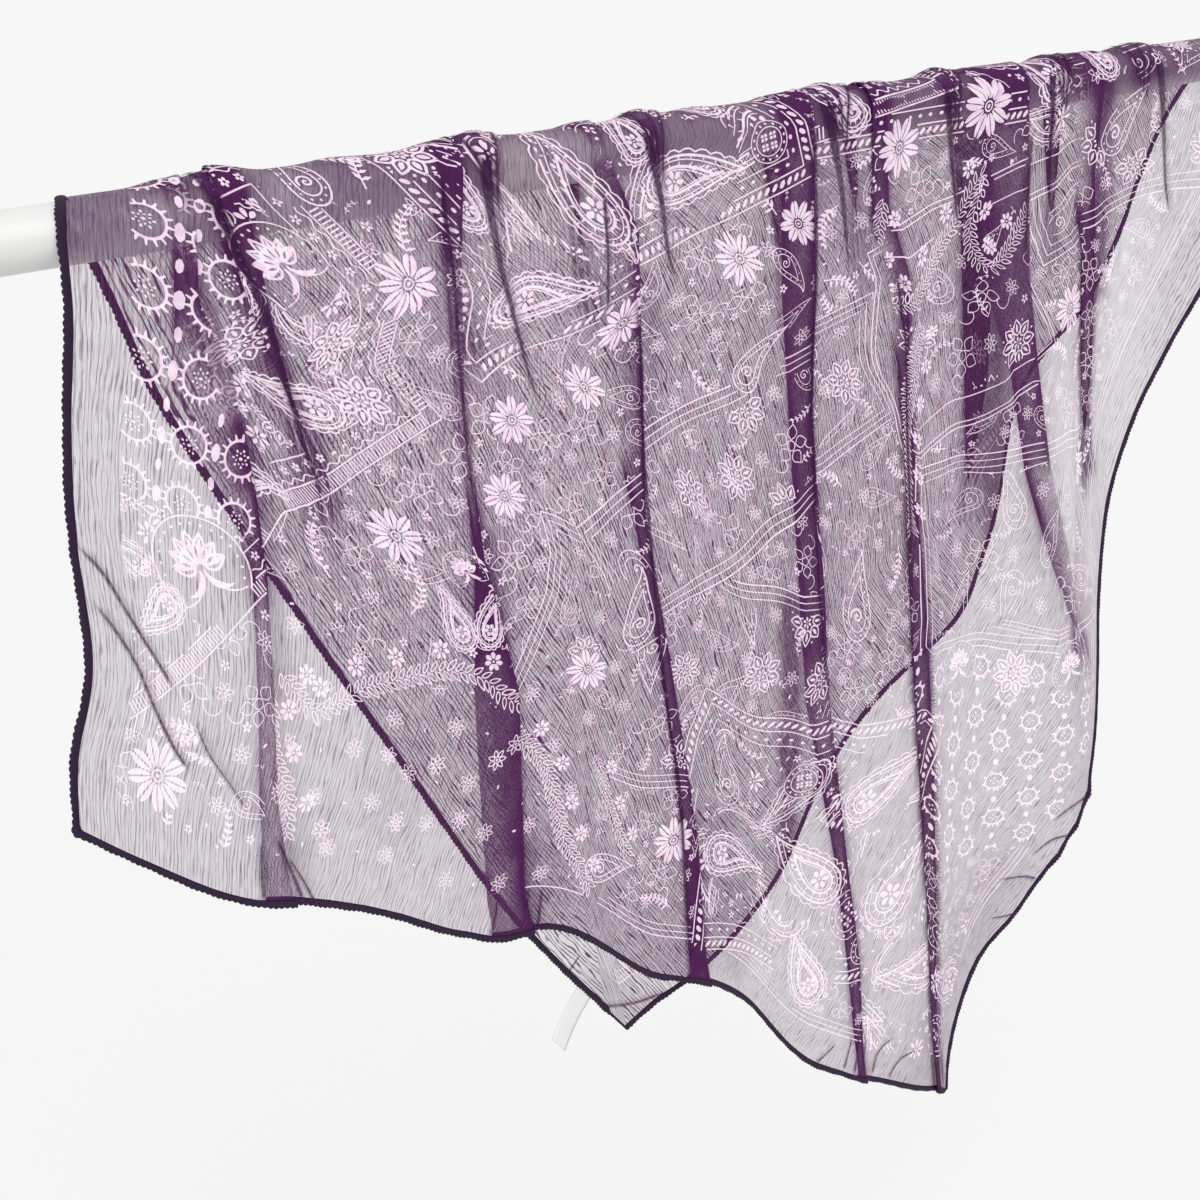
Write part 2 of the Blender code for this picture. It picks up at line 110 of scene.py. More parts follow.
class Pleat(NamedTuple):
    """A flat Z of three layers; opens is +1 where the outer layer's free edge points right, else -1."""

    name: str
    opens: int
    front: tuple[Section, ...]
    back: tuple[Section, ...]

    def lying(self, side: str, drop: Points) -> tuple[Points, Points]:
        """Where its middle is on a fall and how wide it lies there, at each drop."""
        drops, centres, widths = zip(*getattr(self, side))
        return np.interp(drop, drops, centres), np.interp(drop, drops, widths)


class Wave(NamedTuple):
    """A slow wave of the cloth along the rod, deepest at the longest drop."""

    length: float
    depth: float
    phase: float


class Band(NamedTuple):
    """A soft band between two places of a fall, which fades out over its reach.

    A ridge's strength is its height.  A shade's is how much denser and darker the cloth is made, partly
    cloth that lies denser and partly painted shade, or thinner and lighter below zero.
    """

    start: Place
    end: Place
    reach: float
    strength: float


class Bunch(NamedTuple):
    """A gathered bunch that stands up over the rod."""

    centre: float
    width: float
    height: float


# Tables of the falls: their rows are numbers in millimetres

def metres(millimetres: float) -> float:
    """Millimetres as metres."""
    return round(millimetres / 1000, 7)


def line_of(*numbers: float) -> tuple[Place, ...]:
    """A line of places, from two numbers each."""
    return tuple(Place(metres(across), metres(drop)) for across, drop in zip(numbers[::2], numbers[1::2]))


def sections(*numbers: float) -> tuple[Section, ...]:
    """A pleat's sections, from three numbers each: drop, centre and width."""
    return tuple(Section(*map(metres, row)) for row in zip(numbers[::3], numbers[1::3], numbers[2::3]))


def bands(*rows: tuple[float, ...]) -> tuple[Band, ...]:
    """Bands, from rows of numbers: both ends and the reach, and then the strength as it is."""
    return tuple(Band(*line_of(*row[:4]), metres(row[4]), row[5]) for row in rows)


FRONT_LEFT_EDGE = line_of(2, 0, -3, 28, -13, 64, -22, 106, -28, 152, -42, 186, -49, 216)
FRONT_LOWER_EDGE = line_of(
    -49, 216, -28, 240, 0, 267, 26, 280, 64, 306, 94, 331, 116, 343, 139, 347, 158, 361, 191, 400, 222, 419,
    251, 450, 278, 498, 300, 521, 353, 560, 392, 587
)
FRONT_RIGHT_EDGE = line_of(
    392, 587, 408, 545, 430, 503, 461, 483, 490, 457, 515, 424, 527, 384, 531, 340, 532, 300, 537, 260,
    545, 230, 567, 189, 593, 158, 621, 130, 652, 93, 676, 52, 692, 0
)
BACK_LEFT_EDGE = line_of(12, 0, 18, 30, 26, 69, 48, 133, 67, 186, 94, 256, 122, 329, 147, 380, 187, 450)
BACK_RIGHT_EDGE = line_of(
    187, 450, 210, 437, 254, 423, 298, 392, 335, 355, 377, 316, 435, 287, 458, 255, 476, 221, 490, 176,
    512, 150, 552, 124, 580, 90, 600, 55, 622, 26, 652, 0
)

NO_WIDTH = 0.0
PLEATS = (
    Pleat(
        "hand", 1,
        sections(
            0, 46, 8, 30, 40, 8, 55, 39, 22, 100, 43, 12, 138, 43, 5, 188, 34, 6, 230, 25, 7, 268, 20, 10
        ),
        sections(0, 47, 6, 50, 50, 0),
    ),
    Pleat(
        "first", -1,
        sections(0, 64, 11, 45, 67, 5, 75, 71, 3, 107, 75, 0),
        sections(0, 66, 6, 60, 70, 0),
    ),
    Pleat(
        "second", 1,
        sections(0, 153, 9, 35, 147, 6, 87, 140, 4, 157, 137, 4, 222, 134, 20, 322, 122, 18),
        sections(0, 156, 7, 70, 160, 0),
    ),
    Pleat(
        "third", 1,
        sections(0, 222, 6, 34, 227, 18, 113, 219, 16, 160, 219, 5, 238, 223, 5, 335, 225, 8, 400, 220, 9),
        sections(0, 222, 6, 60, 222, 0),
    ),
    Pleat(
        "fourth", 1,
        sections(
            0, 328, 18, 78, 321, 19, 135, 316, 13, 229, 314, 15, 285, 312, 14, 387, 319, 7, 455, 322, 8,
            520, 321, 4
        ),
        sections(0, 332, 14, 80, 336, 0),
    ),
    Pleat(
        "fifth", -1,
        sections(
            0, 378, 9, 45, 375, 11, 78, 381, 22, 125, 385, 7, 200, 386, 9, 280, 387, 15, 364, 387, 14,
            440, 386, 11, 530, 382, 6
        ),
        sections(0, 380, 8, 70, 384, 0),
    ),
    Pleat(
        "sixth", 1,
        sections(
            0, 462, 32, 93, 460, 32, 138, 471, 19, 200, 480, 17, 260, 496, 12, 318, 511, 0, 350, 521, 0
        ),
        sections(0, 464, 28, 75, 466, 26, 150, 460, 18, 212, 449, 0),
    ),
    Pleat(
        "seventh", -1,
        sections(0, 523, 28, 47, 519, 17, 88, 522, 12, 150, 519, 10, 200, 516, 0, 262, 541, 0),
        sections(0, 526, 16, 80, 524, 0),
    ),
)

FRONT_WAVES = (Wave(0.163, 0.0050, 1.0), Wave(0.071, 0.0022, 0.3))
BACK_WAVES = (Wave(0.187, 0.0060, 2.4), Wave(0.083, 0.0024, 1.1))

FRONT_RIPPLES = bands(
    (170, 0, 173, 85, 10, 0.0018), (250, 0, 252, 60, 10, 0.0016), (350, 0, 353, 78, 12, 0.0020),
    (422, 0, 425, 58, 10, 0.0016), (496, 0, 492, 68, 10, 0.0016), (581, 0, 588, 80, 10, 0.0018),
    (-22, 100, 4, 175, 14, 0.0020), (-24, 122, -2, 212, 14, 0.0022), (2, 180, 18, 240, 12, 0.0014),
    (518, 420, 492, 420, 12, 0.0020), (506, 440, 478, 430, 10, 0.0018), (493, 457, 462, 440, 10, 0.0018),
)
BACK_RIPPLES = bands(
    (110, 0, 114, 110, 16, 0.0020), (280, 0, 276, 140, 18, 0.0022), (430, 0, 424, 120, 14, 0.0020),
    (205, 430, 160, 395, 10, 0.0016),
)
BUNCHES = (
    Bunch(0.061, 0.020, 0.0026), Bunch(0.169, 0.022, 0.0030), Bunch(0.250, 0.020, 0.0026),
    Bunch(0.353, 0.030, 0.0030), Bunch(0.426, 0.026, 0.0022), Bunch(0.504, 0.022, 0.0022),
    Bunch(0.567, 0.030, 0.0022),
)


class Softness(NamedTuple):
    """Where a front pleat fades into the cloth between two drops, in metres.

    Its side is -1 for the pleat's left, 1 for its right and 0 for the whole width.
    """

    pleat: str
    side: int
    start: float
    end: float
    strength: float = 1.0


SOFTNESS = (
    Softness("hand", 0, -1.000, 0.010), Softness("hand", 0, 0.036, 0.075, 0.75),
    Softness("hand", -1, 0.050, 0.125, 0.90), Softness("hand", 0, 0.145, 0.290, 0.50),
    Softness("second", 0, 0.030, 0.130, 0.50), Softness("second", -1, 0.200, 0.400, 0.35),
    Softness("third", 0, -1.000, 0.008), Softness("third", -1, 0.018, 0.135),
    Softness("fourth", 0, 0.265, 0.325, 0.35), Softness("fifth", -1, 0.055, 0.112),
    Softness("sixth", 1, 0.200, 0.304, 0.75), Softness("sixth", 0, 0.235, 0.304, 0.40),
    Softness("seventh", -1, -1.000, 0.060),
)

# Painted shade, partly denser cloth: each shade makes the cloth denser and darker, a negative one lighter
FRONT_SHADES = bands(
    (141, 151, 138, 194, 12, 0.6), (136, 194, 129, 298, 11, 0.32), (136, 300, 134, 341, 10, 0.5),
    (148, 290, 146, 330, 16, 0.25), (126, 165, 124, 200, 14, 0.2), (84, 234, 79, 262, 22, 0.15),
    (66, 105, 76, 140, 24, 0.16), (53, 63, 46, 98, 7, 0.4), (37, 85, 36, 110, 12, 0.22),
    (242, 55, 232, 120, 9, 0.42), (341, 12, 338, 52, 10, 0.4), (384, 72, 388, 102, 10, 0.35),
    (538, 12, 532, 108, 14, 0.8), (519, 180, 518, 222, 7, 0.5), (229, 345, 222, 405, 10, 0.6),
    (243, 330, 249, 420, 20, 0.3), (162, 330, 205, 392, 32, 0.13), (159, 75, 163, 123, 7, 0.3),
    (174, 2, 214, 4, 22, -0.3), (207, 24, 205, 60, 16, -0.15), (474, 30, 482, 95, 16, -0.16),
    (385, 2, 600, 2, 18, 0.16), (558, 93, 551, 207, 45, -0.25), (500, 160, 516, 270, 18, -0.24),
    (40, 0, 84, 2, 22, -0.26), (528, 330, 515, 420, 34, 0.14), (443, 454, 371, 551, 50, 0.26),
)
BACK_SHADES = bands(
    (476, 70, 471, 184, 36, 1.0), (471, 184, 468, 236, 18, 1.0), (322, 240, 312, 320, 15, 1.3),
    (312, 320, 300, 388, 14, 1.2), (174, 414, 196, 438, 22, 0.25),
)
SHADES = {"front": FRONT_SHADES, "back": BACK_SHADES}


class Crease(NamedTuple):
    """A thin pinched crease.

    Its path lies on a fall, and a drop below zero runs on over the rod.  It narrows from its first width to
    its last, and its shade spreads wider to its right, or to its left where that is negative.
    """

    path: tuple[tuple[float, float], ...]
    widths: tuple[float, float]
    shade: float
    lift: float
    side: str = "front"


def creases(lift: float, *rows: tuple[float, ...], side: str = "front") -> tuple[Crease, ...]:
    """Creases of one fall.

    Args:
        lift: How far they lie off it, in metres.
        rows: A row of numbers for each: both widths, the shade and then the path.
        side: The fall.

    Returns:
        The creases.
    """
    made = []
    for first, last, shade, *path in rows:
        made.append(Crease(line_of(*path), (metres(first), metres(last)), metres(shade), lift, side))
    return tuple(made)


ON_CLOTH = 0.0004
ON_BUNCH = 0.0008
ON_PLEAT = 0.0021
AT_HEM = 0.0026
CREASES = (
    *creases(
        ON_CLOTH,
        (4, 0.3, 4, 172, -12, 168, 0, 167, 13, 168, 37, 170, 54, 173, 80, 177, 102),
        (4.4, 0.3, 4, 246, -14, 247, 0, 248, 9, 250, 25, 251, 46, 256, 62),
        (5.6, 0.3, 3, 344, -12, 346, 0, 348, 11, 351, 34, 352, 55, 353, 74),
        (5, 0.3, 4, 424, -12, 422, 0, 422, 6, 423, 25, 425, 44, 427, 62),
        (4.4, 0.4, 3, 498, -10, 495, 0, 495, 12, 493, 34, 492, 60),
        (5.2, 0.4, 5, 576, -8, 579, 0, 582, 19, 584, 37, 587, 62, 592, 80),
        (0.8, 0.5, 2.4, -20, 104, -13, 119, -9, 134, -5, 149, -2, 160, 1, 172),
        (0.7, 0.6, 3, -20, 126, -14, 142, -10, 158, -8, 176, -5, 194, -1, 208),
        (0.2, 0.2, 4, 5, 187, 7, 201, 12, 217, 16, 231),
    ),
    *creases(
        ON_PLEAT,
        (3.4, 0.5, 3, 57, -10, 59, 0, 62, 14, 67, 37, 70, 72, 72, 95, 76, 118),
        (1.4, 0.6, 3, 149, -6, 147, 12, 146, 38, 143, 66, 141, 86, 139, 110, 138, 150),
        (1, 0.8, 2, 221, 14, 219, 41, 215, 66),
        (1.1, 1.2, -2, 231, 50, 229, 91, 225, 124, 222, 181, 220, 253, 221, 304, 217, 360, 214, 408),
        (1.8, 0.8, -3, 337, 0, 336, 15, 331, 70, 324, 116, 319, 195, 318, 253, 320, 290),
        (1, 0.6, 2.4, 382, 70, 384, 94, 386, 111, 384, 153, 383, 200, 381, 280),
        (1.6, 0.6, -4, 479, 20, 477, 38, 475, 57, 472, 90),
    ),
    *creases(
        AT_HEM,
        (1.3, 0.3, 2, 13, 272, 15, 258, 18, 244), (1.3, 0.3, 2.4, 29, 280, 27, 264, 24, 244),
        (0.7, 0.2, 1.6, 34, 284, 31, 270, 27, 256), (1.4, 0.3, 2, 125, 344, 129, 334, 133, 320),
        (1.2, 0.3, 1.6, 133, 344, 136, 334, 139, 322), (1, 0.2, 1.4, 110, 338, 114, 330, 118, 318),
        (1.6, 0.4, 2, 212, 412, 214, 402, 216, 388), (1, 0.3, 2, 290, 508, 296, 504, 303, 500),
        (1.1, 0.3, 2, 307, 520, 311, 511, 315, 501), (1.3, 0.3, 1.4, 314, 528, 318, 514, 321, 499),
        (1, 0.3, 1.4, 320, 531, 323, 518, 326, 507), (1.3, 0.3, 2.4, 327, 536, 334, 522, 345, 517),
        (1.2, 0.3, 2.4, 339, 545, 348, 535, 361, 533), (1.6, 0.3, 3, 516, 419, 504, 420, 485, 428),
        (1.4, 0.3, 2.6, 497, 441, 484, 441, 468, 446), (1.3, 0.3, 2.6, 473, 465, 460, 458, 441, 452),
        (1, 0.2, 2, 454, 482, 445, 480, 433, 477),
    ),
    *creases(
        ON_CLOTH,
        (1.6, 0.8, 3, 173, 424, 181, 431, 196, 434, 217, 434), (0.8, 0.3, 1.4, 160, 399, 164, 396, 169, 392),
        side="back",
    ),
)


# Lines

def as_array(places: Iterable[Sequence[float]]) -> Points:
    """The places as rows of numbers."""
    return np.array([tuple(place) for place in places], float)


def smooth_line(places: Iterable[Sequence[float]], samples: int) -> Points:
    """An even, gently rounded line through places, by Catmull-Rom spans.

    Args:
        places: The places that the line passes through.
        samples: How many points the line gets.

    Returns:
        The line's points, a row each.
    """
    line = as_array(places)
    padded = np.vstack([2 * line[0] - line[1], line, 2 * line[-1] - line[-2]])
    place = np.linspace(0, len(line) - 1, samples)
    span = np.minimum(place.astype(int), len(line) - 2)
    f = (place - span)[:, None]
    before, start, end, after = (padded[span + i] for i in range(4))
    bend = 2 * start + (end - before) * f
    bend += (2 * before - 5 * start + 4 * end - after) * f**2
    bend += (3 * start - before - 3 * end + after) * f**3
    return bend / 2


def mixed(start: Points, end: Points, share: Points) -> Points:
    """Values a share of the way from a start to an end."""
    return start * (1 - share) + end * share


def unit(rows: Points) -> Points:
    """The rows with a length of 1, and any row of no length left as it is."""
    return rows / np.maximum(np.linalg.norm(rows, axis=1), TINY)[:, None]


def joined(lines: Sequence[Points]) -> Points:
    """Lines that meet end to end, as one line with no point twice."""
    return np.vstack([lines[0]] + [line[1:] for line in lines[1:]])


def moved_in(line: Points, distance: float) -> Points:
    """The line moved towards the cloth by a distance, with mitred corners."""
    along = unit(np.diff(line, axis=0))
    side = np.stack([along[:, 1], -along[:, 0]], axis=1)
    first = np.vstack([side[:1], side])
    bisector = unit(first + np.vstack([side, side[-1:]]))
    stretch = np.maximum((bisector * first).sum(axis=1), 0.5)
    return line + bisector * (distance / stretch)[:, None]


def on_line(line: Points, places: Points) -> Points:
    """Points of the line at fractional indices."""
    steps = np.arange(len(line))
    return np.stack([np.interp(places, steps, line[:, k]) for k in range(line.shape[1])], axis=-1)


def beside(places: Points, start: Place, end: Place) -> tuple[Points, Points]:
    """How far places lie from a straight line, and the share of the way along it that they are beside."""
    start, end = as_array((start, end))
    way = end - start
    along = np.clip(((places - start) @ way) / (way @ way), 0, 1)
    return np.linalg.norm(places - start - along[..., None] * way, axis=-1), along


def eased(value: Points) -> Points:
    """A smooth step from 0 to 1."""
    value = np.clip(value, 0, 1)
    return value * value * (3 - 2 * value)


def run_length(line: Points, axis: int = 0) -> Points:
    """The length of the line from its start to each of its points."""
    steps = np.linalg.norm(np.diff(line, axis=axis), axis=-1)
    start = np.zeros_like(np.take(steps, [0], axis=axis))
    return np.concatenate([start, np.cumsum(steps, axis=axis)], axis=axis)


# Columns of the net

class ColumnKind(Enum):
    """What a column of the net belongs to."""

    LEFT = "left"
    PLAIN = "plain"
    PLEAT = "pleat"
    RIGHT = "right"


class Station(NamedTuple):
    """A place across a pleat: swing from -1 to 1, layer from 2 outside to 0, and bulge of the turn."""

    swing: float
    layer: float
    bulge: float


class Column(NamedTuple):
    """A column of the net: its kind, its pleat and station, or its share of the way between pleats."""

    kind: ColumnKind
    pleat: Pleat | None = None
    station: Station | None = None
    share: float = 0.0


@dataclass(frozen=True)
class NetPlan:
    """How finely the cloth is netted."""

    plain_step: float = 0.0032
    layer_columns: int = 5
    turn_columns: int = 5
    front_rows: int = 118
    over_rows: int = 20
    back_rows: int = 92
    edge_samples: int = 800
    settling_rounds: int = 40

    def stations(self) -> list[Station]:
        """The stations of a pleat from the outer layer's fixed side inwards."""
        found = []
        for layer, side in ((2, 1), (1, -1), (0, 1)):
            for swing in np.linspace(-side, side, self.layer_columns + 1)[:-1]:
                found.append(Station(float(swing), float(layer), 0.0))
            if layer:
                for angle in np.linspace(0, pi, self.turn_columns)[:-1]:
                    found.append(Station(float(side), layer - (1 - cos(angle)) / 2, side * sin(angle)))
        return found + [Station(1.0, 0.0, 0.0)]

    def columns(self) -> list[Column]:
        """Every column, left to right along the cloth."""
        stations = self.stations()
        columns = [Column(ColumnKind.LEFT)]
        reached = FRONT_LEFT_EDGE[0].across
        for pleat in PLEATS:
            top = pleat.front[0]
            columns += self.plain(top.centre - top.width / 2 - reached)
            order = stations if pleat.opens > 0 else stations[::-1]
            columns += [Column(ColumnKind.PLEAT, pleat, station) for station in order]
            reached = top.centre + top.width / 2
        columns += self.plain(FRONT_RIGHT_EDGE[-1].across - reached)
        return columns + [Column(ColumnKind.RIGHT)]

    def plain(self, width: float) -> list[Column]:
        """Evenly shared columns for a plain width of cloth."""
        count = max(2, int(width / self.plain_step))
        return [Column(ColumnKind.PLAIN, share=(i + 1) / (count + 1)) for i in range(count)]


PLAN = NetPlan()
COLUMNS = PLAN.columns()
STATION_COUNT = len(PLAN.stations())


def filled_plain(values: Points) -> Points:
    """Fills the plain columns of a table, a row for each column, from the marked ones on each side."""
    marked = [i for i, column in enumerate(COLUMNS) if column.kind is not ColumnKind.PLAIN]
    for start, end in zip(marked, marked[1:]):
        for i in range(start + 1, end):
            values[i] = mixed(values[start], values[end], COLUMNS[i].share)
    return values


@dataclass
class Fall:
    """One hanging stretch of the cloth: its outlines and its net of columns and rows.

    Args:
        side: The fall's name, front or back.
        edges: Its outlines in order, starting with the left side where it has one.
        waves: The slow waves of its cloth.
        ripples: Its soft ridges.
        rows: How many rows its net has.
    """

    side: str
    edges: tuple[tuple[Place, ...], ...]
    waves: tuple[Wave, ...]
    ripples: tuple[Band, ...]
    rows: int
    outline: Points = field(init=False)
    inner: Points = field(init=False)
    places: Points = field(init=False)
    across: Points = field(init=False)
    drop: Points = field(init=False)
    lift: Points = field(init=False)

    def __post_init__(self) -> None:
        """Lays out the net between the rod and the fall's lower outline."""
        samples = PLAN.edge_samples
        self.outline = joined([smooth_line(edge, samples) for edge in self.edges])
        self.inner = moved_in(self.outline, CLOTH.hem_cover)
        self.foot_start = (len(self.edges) - 2) * (samples - 1)
        self.corner = self.foot_start + samples - 1
        self.shares = np.linspace(0, 1, self.rows + 1)
        self.places = self.settled_places()
        foot = on_line(self.inner, self.places)
        self.drop = foot[:, 1:] * self.shares
        self.across = np.zeros_like(self.drop)
        for i, column in enumerate(COLUMNS):
            if column.kind is not ColumnKind.PLAIN:
                self.across[i] = self.across_of(column, self.drop[i])
        self.across = filled_plain(self.across)
        self.across += (foot[:, :1] - self.across[:, -1:]) * self.shares**3
        self.lift = self.lifts()

    def across_of(self, column: Column, drop: Points) -> Points:
        """Where a marked column lies across, at each drop."""
        if column.kind is ColumnKind.LEFT:
            if not self.foot_start:
                return np.full_like(drop, self.outline[0, 0] + CLOTH.hem_cover)
            edge = self.inner[: self.foot_start + 1]
            return np.interp(drop, edge[:, 1], edge[:, 0])
        if column.kind is ColumnKind.RIGHT:
            return np.full_like(drop, self.outline[-1, 0] - CLOTH.hem_cover)
        centre, width = column.pleat.lying(self.side, drop)
        folded = width / 2 * column.station.swing + CLOTH.layer_step / 2 * column.station.bulge
        closed = eased(width / CLOTH.open_width * 2)
        return centre + folded * column.pleat.opens * closed + self.spread(column) * (1 - closed)

    @staticmethod
    def spread(column: Column) -> float:
        """A station's even place across where its pleat has run out and the cloth lies open."""
        order = PLAN.stations()
        even = 2 * order.index(column.station) / (STATION_COUNT - 1) - 1
        return CLOTH.open_width / 2 * even * column.pleat.opens

    def settled_places(self) -> Points:
        """Each column's place on the outline, where its path meets the inner line."""
        foot_line = self.inner[self.foot_start:]
        steps = np.arange(len(foot_line)) + self.foot_start
        rising = np.maximum.accumulate(foot_line[:, 0])
        places = np.linspace(self.foot_start, len(self.outline) - 1, len(COLUMNS))
        for _ in range(PLAN.settling_rounds):
            drop = on_line(self.inner, places)[:, 1]
            across = np.zeros(len(COLUMNS))
            for i, column in enumerate(COLUMNS):
                if column.kind is not ColumnKind.PLAIN:
                    across[i] = self.across_of(column, drop[i:i + 1])[0]
            found = np.interp(across, rising, steps)
            found[0] = self.foot_start
            found[-1] = len(self.outline) - 1
            places = (places + filled_plain(found)) / 2
        places[self.corner_column(places)] = self.corner
        return places

    def corner_column(self, places: Points) -> int:
        """The plain column that can move on to the corner with no other column between them."""
        last = max(i for i, place in enumerate(places) if place < self.corner)
        beside = [i for i in (last, last + 1) if COLUMNS[i].kind is ColumnKind.PLAIN]
        return min(beside, key=lambda i: abs(places[i] - self.corner))

    def lifts(self) -> Points:
        """How far every point stands off the plain hanging cloth, in a pleat's layers or a ripple."""
        spread = eased((self.shares - CLOTH.hem_spread_from) / (1 - CLOTH.hem_spread_from))
        step = CLOTH.layer_step + (CLOTH.hem_layer_step - CLOTH.layer_step) * spread
        lift = np.zeros_like(self.drop)
        for i, column in enumerate(COLUMNS):
            if column.kind is ColumnKind.PLEAT:
                lift[i] = column.station.layer * step * self.folded(column.pleat, self.drop[i])
        self.run_up(lift)
        return lift + self.ridges(np.stack([self.across, self.drop], axis=-1))

    def folded(self, pleat: Pleat, drop: Points) -> Points:
        """1 where a pleat's layers lie stacked, and 0 below the place where it has run out."""
        out = [section.drop for section in getattr(pleat, self.side) if section.width == NO_WIDTH]
        if not out:
            return np.ones_like(drop)
        return eased((out[0] + CLOTH.fade_drop - drop) / CLOTH.fade_drop)

    def run_up(self, lift: Points) -> None:
        """Raises the plain cloth beside a pleat's outer layer, so that it runs smoothly up on to it."""
        for i, column in enumerate(COLUMNS):
            if column.kind is not ColumnKind.PLEAT or column.station.swing != -1 or column.station.layer != 2:
                continue
            step = -column.pleat.opens
            j = i + step
            while 0 <= j < len(COLUMNS) and COLUMNS[j].kind is not ColumnKind.PLEAT:
                near = eased(1 - np.abs(self.across[j] - self.across[i]) / CLOTH.lean_in)
                lift[j] = np.maximum(lift[j], lift[i] * near)
                j += step

    def ridges(self, here: Points) -> Points:
        """How far the soft ridges stand up at places of the fall, each most at its start."""
        lift = np.zeros(here.shape[:-1])
        for ripple in self.ripples:
            away, along = beside(here, ripple.start, ripple.end)
            lift += ripple.strength * eased(1 - away / ripple.reach) * (1 - along)
        return lift

    def hung(self, across: Points, drop: Points, lift: Points) -> Points:
        """Points in space of places on the fall, with the slow waves that grow with the drop."""
        grown = np.clip(drop / CLOTH.longest_drop, 0, 1)
        out = BEND_RADIUS + lift
        for wave in self.waves:
            out = out + wave.depth * grown * np.sin(2 * pi * across / wave.length + wave.phase)
        sign = -1 if self.side == "front" else 1
        return np.stack([ROD.scarf_start + across, sign * out, -drop], axis=-1)

    def points(self) -> Points:
        """The net's points in space, columns by rows."""
        return self.hung(self.across, self.drop, self.lift)


def bunch_lift(across: Points) -> Points:
    """How far the gathers stand up over the rod."""
    lift = np.zeros_like(across)
    for bunch in BUNCHES:
        lift += bunch.height * np.exp(-(((across - bunch.centre) / (bunch.width / 2)) ** 2))
    return lift


def over_points(front: Fall, back: Fall) -> Points:
    """The net over the rod, from the front fall's top row to the back fall's."""
    turn = np.linspace(0, 1, PLAN.over_rows + 1)[None, :]
    across = mixed(front.across[:, :1], back.across[:, :1], turn)
    lift = mixed(front.lift[:, :1], back.lift[:, :1], turn)
    radius = BEND_RADIUS + lift + bunch_lift(across) * np.sin(pi * turn)
    return np.stack(
        [ROD.scarf_start + across, -radius * np.cos(pi * turn), radius * np.sin(pi * turn)], axis=-1
    )


# The flat cloth

@dataclass(frozen=True)
class FlatCut:
    """The square cut, and where the line over the rod crosses it."""

    side: float = CLOTH.side
    left_crossing: float = 0.222

    @property
    def corners(self) -> dict[str, Points]:
        """The square's corners: low left and right in front, and the two of the back."""
        places = {"A": (0.0, 0.0), "B": (self.side, 0.0), "D": (self.side, self.side), "C": (0.0, self.side)}
        return {name: np.array(place) for name, place in places.items()}

    @property
    def start(self) -> Points:
        """Where the line over the rod leaves the left edge."""
        return np.array([0.0, self.left_crossing])

    @property
    def down(self) -> Points:
        """The flat direction that hangs straight down in front."""
        way = self.corners["D"] - self.start
        way /= np.linalg.norm(way)
        return np.array([way[1], -way[0]])

    def edge_point(self, edge: str, below: float) -> Points:
        """The point of an edge, named by its corners, that lies a distance below the rod's line."""
        start, end = (self.corners[name] for name in edge)
        heights = [(corner - self.start) @ self.down for corner in (start, end)]
        share = (below - heights[0]) / (heights[1] - heights[0])
        return start + (end - start) * share


FLAT = FlatCut()


